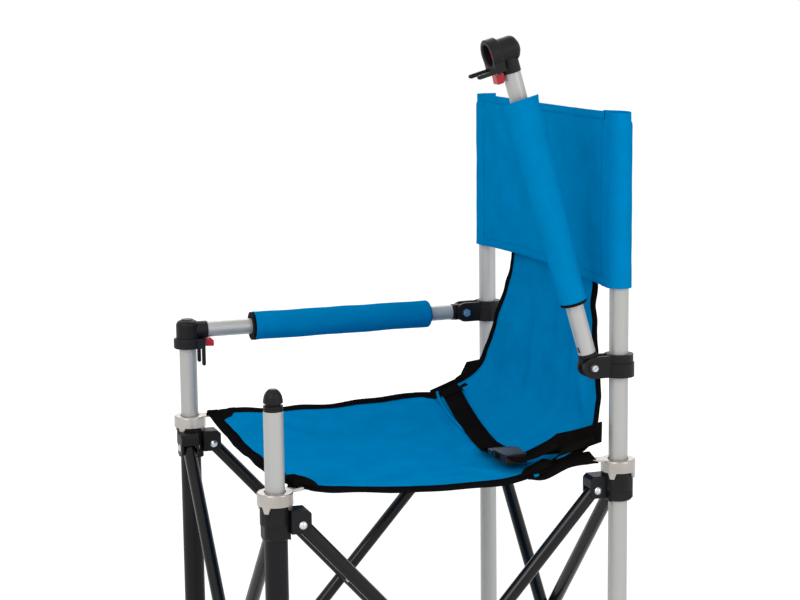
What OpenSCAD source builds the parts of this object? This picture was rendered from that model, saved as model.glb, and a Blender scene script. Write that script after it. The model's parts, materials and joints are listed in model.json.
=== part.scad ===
// Folding camping chair for a child, with four upright posts and a pair of crossed braces on each side.
// The sitter faces -Y, +X is the sitter's left, and Z = 0 is the ground under the feet.

/* [Frame] */
// Distance between the axes of neighbouring posts
post_spacing = 410; // [390:1:440]
// Outer diameter of the silver post tubes
post_od = 22; // [20:0.5:24]
// Wall of the silver post tubes
post_wall = 1.5; // [1:0.1:2]
// Height of the rear posts above the ground
rear_post_top = 876; // [840:1:920]
// Length of front post that shows between its seat ring and its plug cap
front_post_show = 89.5; // [80:0.5:105]
// Length of front post below its hub, which telescopes in the black leg tube
front_post_tail = 200; // [190:1:260]
// Outer diameter of the black front leg tubes
leg_tube_od = 26; // [25.4:0.1:28]

/* [Braces] */
// Height that a brace climbs from its foot pivot to its hub pivot
brace_rise = 400; // [380:1:430]
// Outer diameter of the brace tubes
brace_od = 16; // [14:0.5:17]
// Wall of the brace tubes
brace_wall = 1.2; // [1:0.1:2]
// Gap between the two braces of a pair where they cross
brace_gap = 0.6; // [0.5:0.1:1.5]
// Distance from a post's axis to the brace pivots beside it
pivot_offset = 26; // [25:0.5:30]
// Diameter of the rivet shanks
rivet_d = 6; // [5:0.5:7]
// Diameter of the rivet heads
rivet_head_d = 9.4; // [8:0.2:11]
// Height of the domed rivet heads
rivet_head_h = 2.6; // [2:0.1:3]

/* [Hubs and feet] */
// Width of the square body of a hub or foot
hub_w = 30; // [29:0.5:33]
// Wall of the hoods that cover the brace ends
ear_wall = 3; // [2.5:0.1:3.4]
// Reach of a hood past its pivot
ear_reach = 9.5; // [8.5:0.1:10]
// Height of a hood above its pivot
ear_top = 17; // [15:0.5:19]
// Length of a rear hub below its pivots
rear_skirt = 12; // [10:0.5:18]
// Length of a front hub below its pivots
front_skirt = 17; // [14:0.5:22]
// Height of the foot pivots above the ground
foot_pivot_z = 44; // [40:1:60]
// Diameter of the pad under each foot
pad_d = 42; // [34:0.5:44]
// Thickness of the pad under each foot
pad_h = 7; // [5:0.5:10]

/* [Seat rings] */
// Outer diameter of the pressed metal rings
ring_od = 40; // [39:0.5:44]
// Height of the rings
ring_h = 14; // [12:0.5:18]
// Thickness of the ring metal
ring_t = 1.8; // [1.5:0.1:2.2]
// Height of the ring tops above the brace pivots of the hubs
ring_over_pivot = 36; // [34:0.5:40]
// Length of the claws that grip the hub below the ring
claw_len = 7; // [5:0.5:9]
// Reach of the seat tab from the post's axis
tab_reach = 34; // [30:0.5:35]
// Angle by which the seat tabs turn inwards from the side of the chair
tab_turn = 14; // [0:1:20]

/* [Plug caps] */
// Height of the plug caps on the front posts
plug_h = 24; // [22:0.5:28]
// Diameter of the neck groove that the latch grips
plug_neck_d = 16.4; // [15:0.2:18]
// Height of the plug cap's flange below the neck groove
plug_flange_h = 6; // [5:0.5:7]
// Height of the neck groove
plug_neck_h = 3; // [3:0.1:4]

/* [Armrests] */
// Height of the arm tubes above the seat rings
arm_over_ring = 110; // [104:1:116]
// Distance from a rear post's axis forward to the arm's hinge
arm_hinge_offset = 35; // [33:0.5:38]
// Outer diameter of the arm tubes
arm_od = 20; // [18:0.5:21]
// Wall of the arm tubes
arm_wall = 1.3; // [1:0.1:2]
// Outer diameter of the padded sleeves on the arms
pad_sleeve_od = 32; // [28:0.5:34]
// Length of the padded sleeves
pad_sleeve_len = 240; // [200:1:260]
// Distance from the hinge to the left arm's padded sleeve
left_pad_from_hinge = 77; // [50:1:90]
// Distance from the hinge to the right arm's padded sleeve
right_pad_from_hinge = 48; // [45:1:90]
// Angle of the raised left arm above level
left_arm_raise = 74; // [60:1:89]
// Width of the hinge tongue between the bracket's ears
tongue_w = 10; // [8:0.5:12]
// Height of the arm bracket
bracket_h = 26; // [22:0.5:30]
// Diameter of the bracket's collar round the post
bracket_d = 36; // [34:0.5:40]
// Thickness of the bracket's ears
bracket_ear_t = 5; // [4:0.5:6]

/* [Arm connectors] */
// Outer diameter of the connector's cup
cup_od = 28.6; // [28:0.1:30]
// Outer diameter of the flange at the cup's mouth
mouth_d = 35.5; // [35:0.5:38]
// Height of the flange at the cup's mouth
mouth_h = 12.5; // [12:0.5:14]
// Depth of the mouth's lower face below the arm's axis
mouth_drop = 22.4; // [21.6:0.2:24]
// Height of the connector's domed top above the arm's axis
dome_top = 14.5; // [13:0.5:17]
// Length of the two guide fingers below the mouth
finger_len = 22; // [18:1:26]
// Width of the gap between the two guide fingers
finger_gap = 23; // [22.6:0.2:25]
// Travel of the red latch button
latch_travel = 2.4; // [2:0.1:2.6]

/* [Fabric] */
// Height of the back panel's top edge
panel_top = 880; // [860:1:900]
// Height of the back panel's bottom edge
panel_bottom = 679; // [660:1:700]
// Thickness of the panel and of the seat sling
cloth_t = 2; // [1.5:0.1:2.5]
// Distance behind the chair's centre of the fold between seat and back
fold_y = 115; // [100:1:130]
// Depth of the fold below the seat rings at the middle of the seat
fold_drop = 17; // [12:1:25]
// Depth of the hollow that the seat's middle hangs to
seat_sag = 14; // [8:1:20]
// Width of the lap belt's webbing
belt_w = 25; // [20:1:30]
// Travel of the buckle's tongue out of its socket
buckle_travel = 26; // [20:1:30]

/* [Hidden] */
$fn = 48;

// Clearances: turning or sliding fits, fixed fits in one body, and pieces that pass each other
run_fit = 0.06;
fixed_fit = 0.1;
free_gap = 0.3;
eps = 0.01;

half = post_spacing / 2;
post_r = post_od / 2;
brace_span = post_spacing - 2 * pivot_offset;
brace_len = sqrt(brace_span * brace_span + brace_rise * brace_rise);
brace_angle = atan2(brace_rise, brace_span);
brace_r = brace_od / 2;
lane = (brace_od + brace_gap) / 2;
hub_z = foot_pivot_z + brace_rise;
ring_z = hub_z + ring_over_pivot;
front_post_top = ring_z + front_post_show;
arm_z = ring_z + arm_over_ring;
hinge_y = half - arm_hinge_offset;
arm_len = half + hinge_y;
tube_from_hinge = 17.3;
collar_len = 25;
spigot_len = 20;
tongue_r = 10;

// The corners of a hub are rounded so that the ring's claws just pass over them.
claw_in = ring_od / 2 - ring_t;
hub_round = (hub_w / sqrt(2) - claw_in + free_gap) / (sqrt(2) - 1);

// The plug cap's foot, measured from the arm's axis when the arm is latched
plug_z = front_post_top - arm_z;
latch_h = plug_neck_h - 2 * free_gap;
latch_z = plug_z + plug_flange_h + free_gap;
latch_pocket_r = mouth_d / 2 - 1.4;
latch_block_y = mouth_d / 2 + 1.9;

// Corners counted the way the hubs turn: front left, rear left, rear right, front right.
// Each corner's part is the front left one turned by 90 degrees times its number.
FL = 0;
RL = 1;
RR = 2;
FR = 3;

module at_corner(i) {
    rotate([0, 0, 90 * i]) translate([half, -half, 0]) children();
}

module tube(r_out, r_in, h) {
    difference() {
        cylinder(r = r_out, h = h);
        translate([0, 0, -1]) cylinder(r = r_in, h = h + 2);
    }
}

// A bar with a rounded square section, standing on z = 0
module rounded_bar(w, r, h) {
    linear_extrude(h) hull() {
        for (x = [-1, 1], y = [-1, 1])
            translate([x * (w / 2 - r), y * (w / 2 - r)]) circle(r = r, $fn = 32);
    }
}

// Posts and leg tubes

// The rear post's upper end is rolled in, so that it can't cut the back panel's pocket.
module rear_post(i) {
    roll = 3;
    r_in = post_r - post_wall;
    color("#bebdb9") at_corner(i) translate([0, 0, pad_h]) rotate_extrude() difference() {
        union() {
            square([post_r, rear_post_top - pad_h - roll]);
            translate([post_r - roll, rear_post_top - pad_h - roll]) circle(r = roll);
            translate([0, rear_post_top - pad_h - roll]) square([post_r - roll, roll]);
        }
        square([r_in, rear_post_top - pad_h - roll]);
        translate([0, rear_post_top - pad_h - roll - eps]) square([r_in - roll, roll + 1]);
        translate([-post_od, -1]) square([post_od, rear_post_top]);
    }
}

// A front post is fixed in its hub, and its lower end slides in the leg tube when the chair folds.
module front_post(i) {
    low = hub_z - front_skirt - front_post_tail;
    color("#bebdb9") at_corner(i) translate([0, 0, low])
        tube(post_r, post_r - post_wall, front_post_top - low);
}

// The hub rests on the leg tube's upper end when the chair stands open.
module leg_tube(i) {
    color("#222126") at_corner(i) translate([0, 0, pad_h])
        tube(leg_tube_od / 2, post_r + run_fit, hub_z - front_skirt - free_gap - pad_h);
}

// The moulded plug in the top of a front post: a stem, a flange, a neck for the latch and a domed head
module plug_cap(i) {
    flange_r = post_r - 0.15;
    neck_r = plug_neck_d / 2;
    head_z = plug_flange_h + plug_neck_h;
    stem_r = post_r - post_wall - fixed_fit;
    color("#232225") at_corner(i) translate([0, 0, front_post_top]) {
        rotate_extrude() difference() {
            union() {
                translate([0, -14]) square([stem_r, 14 + eps]);
                square([flange_r, plug_flange_h]);
                translate([0, plug_flange_h - eps]) square([neck_r, plug_neck_h + 2 * eps]);
                intersection() {
                    translate([0, head_z]) square([flange_r, plug_h - head_z]);
                    translate([0, head_z + 1.5]) scale([1, 1.36]) circle(r = flange_r);
                    translate([0, head_z - 6]) square([flange_r, plug_h]);
                }
            }
            translate([flange_r + 0.3, plug_flange_h / 2]) circle(r = 0.9, $fn = 16);
            translate([flange_r + 0.1, head_z + 5.5]) circle(r = 0.9, $fn = 16);
            translate([-20, -20]) square([20, 60]);
        }
    }
}

// Hubs and feet

// One hood with its pivot at the origin, reaching towards +Y, open below and covering a brace in
// the lane at x = side * lane. Its end wall starts above the brace, which leaves under it.
module hood(side, root) {
    inner = brace_r + brace_gap / 2;
    outer = inner + ear_wall;
    low = -9;
    wall_low = 3.5;
    end_in = brace_r + free_gap;
    translate([side * lane, 0, 0]) difference() {
        rotate([90, 0, 90]) translate([0, 0, -outer]) linear_extrude(2 * outer) polygon([
            [-root, low], [ear_reach - 4, low], [ear_reach, low + 4],
            [ear_reach, ear_top - 4], [ear_reach - 4, ear_top], [-root, ear_top]
        ]);
        translate([-inner, -end_in - 0.5, low - 1])
            cube([2 * inner, 2 * end_in + 0.5, ear_top + 1 - low - ear_wall]);
        translate([-inner, -end_in - 0.5, low - 1]) cube([2 * inner, 3 * end_in, wall_low - low + 1]);
        translate([-outer - 1, 0, 0]) rotate([0, 90, 0])
            cylinder(r = rivet_d / 2 + run_fit, h = 2 * outer + 2);
    }
}

// The two hoods of the front left hub: the side pair's outer brace and the front pair's inner brace
module hood_pair() {
    root = pivot_offset - hub_w / 2 + 2;
    translate([0, pivot_offset, 0]) hood(1, root);
    translate([-pivot_offset, 0, 0]) rotate([0, 0, 90]) hood(1, root);
}

module hub(i, skirt) {
    neck_r = claw_in - 1;
    color("#1f1e21") at_corner(i) translate([0, 0, hub_z]) difference() {
        union() {
            translate([0, 0, -skirt]) rounded_bar(hub_w, hub_round, ring_over_pivot - ring_h + skirt);
            cylinder(r = neck_r, h = ring_over_pivot - ring_t);
            hood_pair();
        }
        translate([0, 0, -skirt - 1]) cylinder(r = post_r + run_fit, h = ring_over_pivot + skirt + 2);
        translate([0, 0, -skirt]) skirt_chamfer();
    }
}

// The chamfer round the lower end of a hub, on its two sides that carry no hood
module skirt_chamfer() {
    cut = 5;
    difference() {
        translate([-hub_w, -hub_w, -1]) cube([2 * hub_w, 2 * hub_w, cut + 1]);
        translate([0, 0, -1]) cylinder(r1 = hub_w / 2 - 1, r2 = hub_w / 2 + 5, h = cut + 2);
        translate([-hub_w - 1, hub_w / 2 - 2, -2]) cube([3 * hub_w, hub_w * 2, 2 * cut + 4]);
        translate([-hub_w * 2 - hub_w / 2 + 2, -hub_w - 1, -2]) cube([hub_w * 2, 3 * hub_w, 2 * cut + 4]);
    }
}

// A foot carries the same pair of hoods upside down, so its outer and inner lanes change places.
module foot(i, held_od) {
    body_top = foot_pivot_z + 14;
    color("#1d1c1f") at_corner(i) {
        difference() {
            union() {
                cylinder(r1 = pad_d / 2 - 1.5, r2 = pad_d / 2, h = 1.5);
                translate([0, 0, 1.5]) cylinder(r = pad_d / 2, h = pad_h - 1.5);
                translate([0, 0, pad_h - 1]) cylinder(r1 = pad_d / 2, r2 = hub_w / 2, h = 9);
                translate([0, 0, pad_h - 1]) rounded_bar(hub_w, 6, body_top - pad_h + 1);
                translate([0, 0, foot_pivot_z]) rotate([180, 0, -90]) hood_pair();
            }
            translate([0, 0, pad_h]) cylinder(r = held_od / 2 + fixed_fit, h = body_top);
        }
    }
}

// Seat rings

// A pressed cap round the post with four claws over the hub's corners and a flat tab for the seat
module seat_ring(i) {
    r = ring_od / 2;
    inner = post_r + 1.2;
    turn = (i == FL || i == RR) ? 90 + tab_turn : 180 - tab_turn;
    color("#b9b5b2") at_corner(i) translate([0, 0, ring_z]) {
        rotate_extrude() difference() {
            union() {
                translate([inner, -ring_t]) square([r - inner - 2, ring_t]);
                translate([claw_in, -ring_h]) square([ring_t, ring_h - 2]);
                translate([r - 2, -2]) circle(r = 2);
            }
            translate([0, -ring_h]) square([claw_in, ring_h - ring_t]);
        }
        rotate([0, 0, turn]) tab();
        // The two claws over the hub's hoods stop short of them.
        for (a = [225, 315]) rotate([0, 0, a]) claw(claw_len);
        for (a = [45, 135]) rotate([0, 0, a]) claw(min(claw_len, ring_over_pivot - ring_h - ear_top - free_gap));
    }
}

// A tapered claw, a hair thinner than the ring's skirt that it grows from
module claw(len) {
    intersection() {
        translate([0, 0, -ring_h - len]) difference() {
            cylinder(r = claw_in + ring_t - 0.1, h = len + 2);
            translate([0, 0, -1]) cylinder(r = claw_in + 0.05, h = len + 4);
        }
        rotate([90, 0, 90]) linear_extrude(claw_in + 5) polygon([
            [-5.5, -ring_h + 1], [-2.5, -ring_h - len], [2.5, -ring_h - len], [5.5, -ring_h + 1]
        ]);
    }
}

module tab() {
    half_w = 8;
    translate([0, 0, -ring_t]) linear_extrude(ring_t) difference() {
        hull() {
            translate([ring_od / 2 - 6, -half_w - 2]) square([1, 2 * half_w + 4]);
            translate([tab_reach - 5, half_w - 5]) circle(r = 5, $fn = 32);
            translate([tab_reach - 5, 5 - half_w]) circle(r = 5, $fn = 32);
        }
        translate([tab_reach - 7, 0]) circle(r = 2.2);
    }
}

// Braces

// The pair of one side, in a frame where the side runs along +Y from this corner's foot and hub
module brace(i, lane_side, climbs) {
    color("#17161a") on_brace(i, lane_side, climbs) difference() {
        union() {
            translate([0, 0, -brace_len / 2]) tube(brace_r, brace_r - brace_wall, brace_len);
            for (end = [-1, 1]) translate([0, 0, end * brace_len / 2]) end_cap();
        }
        for (s = [-brace_len / 2, 0, brace_len / 2]) translate([-brace_od, 0, s]) rotate([0, 90, 0])
            cylinder(r = rivet_d / 2 + run_fit, h = 2 * brace_od);
    }
}

// The rounded plug that closes a brace's end round its pivot
module end_cap() {
    intersection() {
        rotate([0, 90, 0]) cylinder(r = brace_r - 0.2, h = brace_od, center = true);
        cylinder(r = brace_r, h = brace_od, center = true);
    }
}

// Puts a brace's own axis, standing on its middle, at its place in the frame.
// climbs is 1 where the brace climbs towards +Y, away from corner i, and -1 where it comes down.
module on_brace(i, lane_side, climbs) {
    at_corner(i) translate([lane_side * lane, half, foot_pivot_z + brace_rise / 2])
        rotate([-climbs * (90 - brace_angle), 0, 0]) children();
}

// The rivets through a brace's two ends, and for an outer brace the one where the pair crosses
module brace_rivets(i, lane_side, climbs) {
    grip = brace_r + brace_gap / 2 + ear_wall + free_gap;
    color("#c9cdd2") on_brace(i, lane_side, climbs) {
        for (s = [-brace_len / 2, brace_len / 2]) translate([0, 0, s]) rivet(-grip, grip);
        if (lane_side > 0)
            rivet(-lane - lane - brace_r - free_gap, brace_r + free_gap);
    }
}

// A rivet along X whose two domed heads start at x = from and x = to
module rivet(from, to) {
    rotate([0, 90, 0]) {
        translate([0, 0, from - eps]) cylinder(r = rivet_d / 2, h = to - from + 2 * eps);
        translate([0, 0, to]) rivet_head();
        translate([0, 0, from]) mirror([0, 0, 1]) rivet_head();
    }
}

module rivet_head() {
    r = rivet_head_d / 2;
    dome_r = (r * r + rivet_head_h * rivet_head_h) / (2 * rivet_head_h);
    intersection() {
        translate([0, 0, rivet_head_h - dome_r]) sphere(r = dome_r);
        cylinder(r = r, h = rivet_head_h);
    }
}

// Armrests

// Places a piece drawn on a level arm, whose hinge is at the origin and whose connector is at -Y
module on_arm(side) {
    raise = side > 0 ? left_arm_raise : 0;
    translate([side * half, hinge_y, arm_z]) rotate([-raise, 0, 0]) children();
}

// The collar slides stiffly on the rear post; its two ears hold the arm's hinge.
module bracket(side) {
    ear_in = tongue_w / 2 + free_gap;
    ear_r = 12.5;
    color("#212022") translate([side * half, half, arm_z]) difference() {
        union() {
            translate([0, 0, -bracket_h / 2]) cylinder(r = bracket_d / 2 - 1.2, h = bracket_h);
            translate([0, 0, -bracket_h / 2]) cylinder(r = bracket_d / 2, h = bracket_h * 0.62);
            for (m = [0, 1]) mirror([m, 0, 0]) translate([ear_in, 0, 0]) bracket_ear(ear_r);
            translate([0, -arm_hinge_offset, 0]) for (m = [0, 1]) mirror([m, 0, 0])
                rotate([0, 90, 0]) cylinder(r = 7, h = ear_in + bracket_ear_t + 0.8);
        }
        translate([0, 0, -bracket_h]) cylinder(r = post_r + run_fit, h = 2 * bracket_h);
        translate([0, -arm_hinge_offset, 0]) rotate([0, 90, 0])
            cylinder(r = rivet_d / 2 + run_fit, h = 4 * bracket_ear_t + tongue_w, center = true);
        translate([-ear_in, -arm_hinge_offset - ear_r - 1, -bracket_h])
            cube([2 * ear_in, arm_hinge_offset + ear_r + 1 - post_r - 3.2, 2 * bracket_h]);
    }
}

module bracket_ear(r) {
    rotate([90, 0, 90]) linear_extrude(bracket_ear_t) difference() {
        union() {
            translate([-arm_hinge_offset, 0]) circle(r = r);
            translate([-arm_hinge_offset, -r]) square([arm_hinge_offset - 8, 2 * r]);
        }
        translate([-arm_hinge_offset - r - 8, -r - 4]) rotate(-35) square([16, 8]);
    }
}

// The slotted bolt and the nut that carry the arm in its bracket
module hinge_bolt(side) {
    reach = tongue_w / 2 + free_gap + bracket_ear_t + 0.8 + free_gap;
    color("#c4c6ca") translate([side * half, hinge_y, arm_z]) rotate([0, 0, side > 0 ? 0 : 180]) {
        difference() {
            union() {
                translate([-reach - 5, 0, 0]) rotate([0, 90, 0]) cylinder(r = rivet_d / 2, h = 2 * reach + 5);
                translate([reach, 0, 0]) rotate([0, 90, 0]) cylinder(r1 = 4.4, r2 = 3.6, h = 2.4);
            }
            rotate([35, 0, 0]) translate([reach + 1.2, -6, -0.6]) cube([3, 12, 1.2]);
        }
        translate([-reach - 4.2, 0, 0]) rotate([0, 90, 0]) difference() {
            cylinder(r = 5.4, h = 4.2, $fn = 6);
            translate([0, 0, -1]) cylinder(r = rivet_d / 2 + fixed_fit, h = 7);
        }
    }
}

// The moulded tongue that turns in the bracket and is pressed into the arm tube
module hinge_plug(side) {
    shoulder = 13.2;
    color("#232224") on_arm(side) difference() {
        union() {
            rotate([0, 90, 0]) cylinder(r = tongue_r, h = tongue_w, center = true);
            translate([-tongue_w / 2, -shoulder - 1, -tongue_r]) cube([tongue_w, shoulder + 1, 2 * tongue_r]);
            translate([0, -shoulder, 0]) rotate([90, 0, 0])
                cylinder(r = arm_od / 2 + 0.5, h = tube_from_hinge - free_gap - shoulder);
            translate([0, -shoulder, 0]) rotate([90, 0, 0])
                cylinder(r = arm_od / 2 - arm_wall - fixed_fit, h = tube_from_hinge - shoulder + spigot_len);
        }
        rotate([0, 90, 0]) cylinder(r = rivet_d / 2 + run_fit, h = 2 * tongue_w, center = true);
    }
}

// The arm tube, with the notch that is milled in the underside of its rear end
module arm_tube(side) {
    len = arm_len - collar_len - free_gap - tube_from_hinge;
    color("#c3c2bd") on_arm(side) translate([0, -tube_from_hinge, 0]) difference() {
        rotate([90, 0, 0]) tube(arm_od / 2, arm_od / 2 - arm_wall, len);
        translate([-4, -10, -arm_od]) cube([8, 7, arm_od - arm_od / 2 + arm_wall + 1]);
    }
}

// Foam under a fabric cover, open at both ends and hemmed with a thin band
module arm_pad(side) {
    from = side > 0 ? left_pad_from_hinge : right_pad_from_hinge;
    r = pad_sleeve_od / 2;
    bore = arm_od / 2 + free_gap;
    color("#0174a3") on_arm(side) translate([0, -from, 0]) rotate([90, 0, 0]) rotate_extrude() difference() {
        union() {
            translate([bore, 1]) square([r - bore - 1.5, pad_sleeve_len - 2]);
            translate([bore, 2.5]) square([r - bore, pad_sleeve_len - 5]);
            for (z = [2.5, pad_sleeve_len - 2.5]) translate([r - 1.5, z]) circle(r = 1.5, $fn = 24);
        }
        translate([bore - 1, -2]) square([r - bore - 1.2, 6]);
        translate([bore - 1, pad_sleeve_len - 4]) square([r - bore - 1.2, 6]);
    }
}

// The moulded connector: a domed cup that drops over the plug cap, a mouth that houses the latch,
// a spigot for the arm tube, and two guide fingers that straddle the post
module connector(side) {
    cavity_r = mouth_d / 2 - 5.7;
    cavity_top = plug_z + plug_h + 0.6;
    block_y = latch_block_y;
    color("#222124") on_arm(side) translate([0, -arm_len, 0]) {
        difference() {
            union() {
                translate([0, 0, -mouth_drop]) rotate_extrude() mouth_profile();
                translate([-finger_gap / 2 - 3.6, 6, -mouth_drop])
                    cube([finger_gap + 7.2, block_y - 6, mouth_h]);
                rotate([-90, 0, 0]) cylinder(r = arm_od / 2 + 1, h = collar_len);
                translate([0, 0, 0]) rotate([-90, 0, 0])
                    cylinder(r = arm_od / 2 - arm_wall - fixed_fit, h = collar_len + spigot_len);
                for (m = [0, 1]) mirror([m, 0, 0]) finger(block_y);
            }
            translate([0, 0, -mouth_drop - 1]) cylinder(r = cavity_r, h = cavity_top + mouth_drop + 1);
            translate([0, 0, -mouth_drop - 1]) cylinder(r1 = cavity_r + 2.4, r2 = cavity_r, h = 2.6);
            translate([0, 0, latch_z - free_gap]) latch_pocket();
        }
    }
}

// The cup and its mouth in section: a rounded band below, then a straight wall and a dome
module mouth_profile() {
    top = mouth_drop + dome_top;
    cup_r = cup_od / 2;
    round_r = 7;
    hull() {
        translate([0, 1]) square([mouth_d / 2, mouth_h - 2.5]);
        square([mouth_d / 2 - 1, mouth_h]);
    }
    square([cup_r, top - round_r - 1]);
    translate([0, top - round_r - 1]) intersection() {
        square([cup_r, round_r + 1]);
        union() {
            square([cup_r - round_r, round_r + 0.4]);
            translate([cup_r - round_r, 0]) circle(r = round_r);
            translate([0, -7]) intersection() {
                square([cup_r, 16]);
                square([7.5, 15]);
            }
        }
    }
}

module finger(block_y) {
    x = finger_gap / 2;
    y = block_y - 4.4;
    translate([x, y, -mouth_drop - finger_len + 2.2]) cube([3.6, 4.4, finger_len]);
    translate([x, y + 2.2, -mouth_drop - finger_len + 2.2]) rotate([0, 90, 0]) cylinder(r = 2.2, h = 3.6);
}

module latch_pocket() {
    h = latch_h + 2 * free_gap;
    cylinder(r = latch_pocket_r, h = h);
    translate([-5, 0, 0]) cube([10, latch_block_y + 1, h]);
}

// The red latch: a plate whose hole grips the plug's neck from the front, and the button behind it
module latch(side) {
    h = latch_h;
    block_y = latch_block_y;
    plate_r = latch_pocket_r - latch_travel - free_gap;
    color("#b3202e") on_arm(side) translate([0, -arm_len, latch_z]) {
        difference() {
            union() {
                translate([0, latch_travel, 0]) cylinder(r = plate_r, h = h);
                translate([-4.6, 8, 0]) cube([9.2, block_y + latch_travel + 1 - 8, h]);
                translate([0, block_y + latch_travel + 0.3, 0]) button();
            }
            translate([0, latch_travel, -1]) cylinder(r = post_r + 0.3, h = h + 2);
        }
    }
}

// The button's block, with its corners rounded and its rear face cut back at the top
module button() {
    len = 10.5;
    high = -arm_od / 2 - 1 - free_gap - latch_z;
    low = high - 9.5;
    rotate([90, 0, 90]) translate([0, 0, -6]) linear_extrude(12) polygon([
        [0, low], [len - 1, low - 0.6], [len, low + 0.4], [len, high - 3], [len - 3, high], [0, high]
    ]);
}

// Fabric

// Height of the seat's upper face: x across, y from the front edge to the fold.
// It hangs from the four seat tabs, dips along its edges, and hollows in its middle.
seat_half = half - 22;
seat_front = -half + 22;
seat_split = (seat_front + fold_y) / 2;

tab_end = half - tab_reach - 1;

function arch(t) = 4 * t * (1 - t);
function along(y) = max(0, (y + tab_end) / (fold_y + tab_end));
function seat_edge(y) = seat_half + 2 * (1 - along(y)) + 14 * pow(max(0, 1 - (y - seat_front) / 50), 2);
function seat_height(x, y) =
    let (u = abs(x) / seat_edge(y), v = along(y))
    ring_z + cloth_t + free_gap
        - 9 * arch(v) * u * u
        - 8 * max(0, 1 - pow(u / 0.92, 2)) * (1 - v)
        - seat_sag * arch(v) * (1 - u * u)
        - (fold_drop - 5 * u * u) * v * v;

// The back panel's pockets round the rear posts, and its face's distance behind the chair's centre
pocket_in = post_r + free_gap;
pocket_out = pocket_in + cloth_t;
panel_bow = 9;
seam_half = seat_half - 56;
function panel_y(x) = half - pocket_out + panel_bow * (1 - x * x / (half * half));

// The lower back, from the fold up to its seam behind the back panel. Each row gives the height
// above the fold, the distance behind the chair's centre, the half width, and the hollow.
back_rows = [
    [0, fold_y + 0.2, seat_half, 0], [10, fold_y + 20, seat_half, 2], [28, fold_y + 50, seat_half - 2, 5],
    [52, fold_y + 72, seat_half - 4, 8], [92, fold_y + 83, seat_half - 16, 10],
    [132, fold_y + 88, seat_half - 36, 10], [182, fold_y + 90, seat_half - 57, 8],
    [222, fold_y + 87, seam_half, 5],
    [248, panel_y(seam_half) + free_gap + 0.1, seam_half, panel_y(0) - panel_y(seam_half)]
];
seat_steps = 6;
cross_steps = 14;

function seat_row(y) = [for (j = [0:cross_steps])
    let (x = (2 * j / cross_steps - 1) * seat_edge(y)) [x, y, seat_height(x, y)]];
function back_row(row) = [for (j = [0:cross_steps])
    let (s = 2 * j / cross_steps - 1)
    [s * row[2], row[1] + row[3] * (1 - s * s), seat_height(s * seat_half, fold_y) + row[0]]];

// A closed sheet from a grid of upper points and one of lower points, both rows by columns
module sheet(upper, lower) {
    n = len(upper);
    m = len(upper[0]);
    points = [for (r = upper) each r, for (r = lower) each r];
    function at(k, i, j) = k * n * m + i * m + j;
    faces = [
        for (i = [0:n - 2], j = [0:m - 2]) each [
            [at(0, i, j), at(0, i + 1, j), at(0, i + 1, j + 1)],
            [at(0, i, j), at(0, i + 1, j + 1), at(0, i, j + 1)],
            [at(1, i, j), at(1, i + 1, j + 1), at(1, i + 1, j)],
            [at(1, i, j), at(1, i, j + 1), at(1, i + 1, j + 1)]
        ],
        for (i = [0:n - 2]) each [
            [at(0, i, 0), at(1, i, 0), at(1, i + 1, 0)],
            [at(0, i, 0), at(1, i + 1, 0), at(0, i + 1, 0)],
            [at(0, i, m - 1), at(1, i + 1, m - 1), at(1, i, m - 1)],
            [at(0, i, m - 1), at(0, i + 1, m - 1), at(1, i + 1, m - 1)]
        ],
        for (j = [0:m - 2]) each [
            [at(0, 0, j), at(1, 0, j + 1), at(1, 0, j)],
            [at(0, 0, j), at(0, 0, j + 1), at(1, 0, j + 1)],
            [at(0, n - 1, j), at(1, n - 1, j), at(1, n - 1, j + 1)],
            [at(0, n - 1, j), at(1, n - 1, j + 1), at(0, n - 1, j + 1)]
        ]
    ];
    polyhedron(points, faces, convexity = 6);
}

module seat_half_sheet(ys) {
    upper = [for (y = ys) seat_row(y)];
    lower = [for (row = upper) [for (p = row) p - [0, 0, cloth_t]]];
    color("#0072a6") sheet(upper, lower);
}

function steps_between(from, to) = [for (i = [0:seat_steps]) from + (to - from) * i / seat_steps];

module seat_front() {
    seat_half_sheet([seat_front, each steps_between(-tab_end, seat_split - 0.2)]);
}

module seat_rear() {
    seat_half_sheet(steps_between(seat_split + 0.2, fold_y - 0.2));
}

// Its thickness turns from downwards at the fold to backwards on the upright part.
module back_sling() {
    upper = [for (row = back_rows) back_row(row)];
    lower = [for (i = [0:len(upper) - 1])
        let (lean = min(1, i / 3))
        [for (p = upper[i]) p + cloth_t * [0, lean, -sqrt(1 - lean * lean)]]];
    color("#0073a9") sheet(upper, lower);
}

// Webbing straps, level over the rear seat tabs, then down under the seat's rear corners
strap_w = 24;
module rear_straps() {
    top = ring_z + free_gap + 1.5;
    color("#171618") for (s = [-1, 1]) {
        start = [s * (half - 8), tab_end, top];
        stop = [s * (seat_half - 6), fold_y - 6, seat_height(seat_half - 18, fold_y - 6) - cloth_t - 1.9];
        path = [start + [0, 8, 0], for (t = [0:0.2:1]) start + (stop - start) * t];
        upper = [for (p = path) [p - [strap_w / 2, 0, 0], p + [strap_w / 2, 0, 0]]];
        lower = [for (row = upper) [for (p = row) p - [0, 0, 1.5]]];
        sheet(lower, upper);
    }
}

// The back panel: a pocket on each rear post and a wide face between them that bows back a little
module back_panel() {
    h = panel_top - panel_bottom;
    face_r = (half * half + panel_bow * panel_bow) / (2 * panel_bow);
    face_y = panel_y(0) - face_r;
    color("#0080bd") translate([0, 0, panel_bottom]) linear_extrude(h) {
        for (s = [-1, 1]) translate([s * half, half]) difference() {
            circle(r = pocket_out);
            circle(r = pocket_in);
        }
        difference() {
            intersection() {
                translate([0, face_y]) circle(r = face_r, $fn = 360);
                translate([-half, panel_y(half) - 1]) square([2 * half, panel_bow + cloth_t + 4]);
            }
            translate([0, face_y - cloth_t]) circle(r = face_r, $fn = 360);
            for (s = [-1, 1]) translate([s * half, half]) circle(r = pocket_in + 0.5);
        }
    }
}

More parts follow.
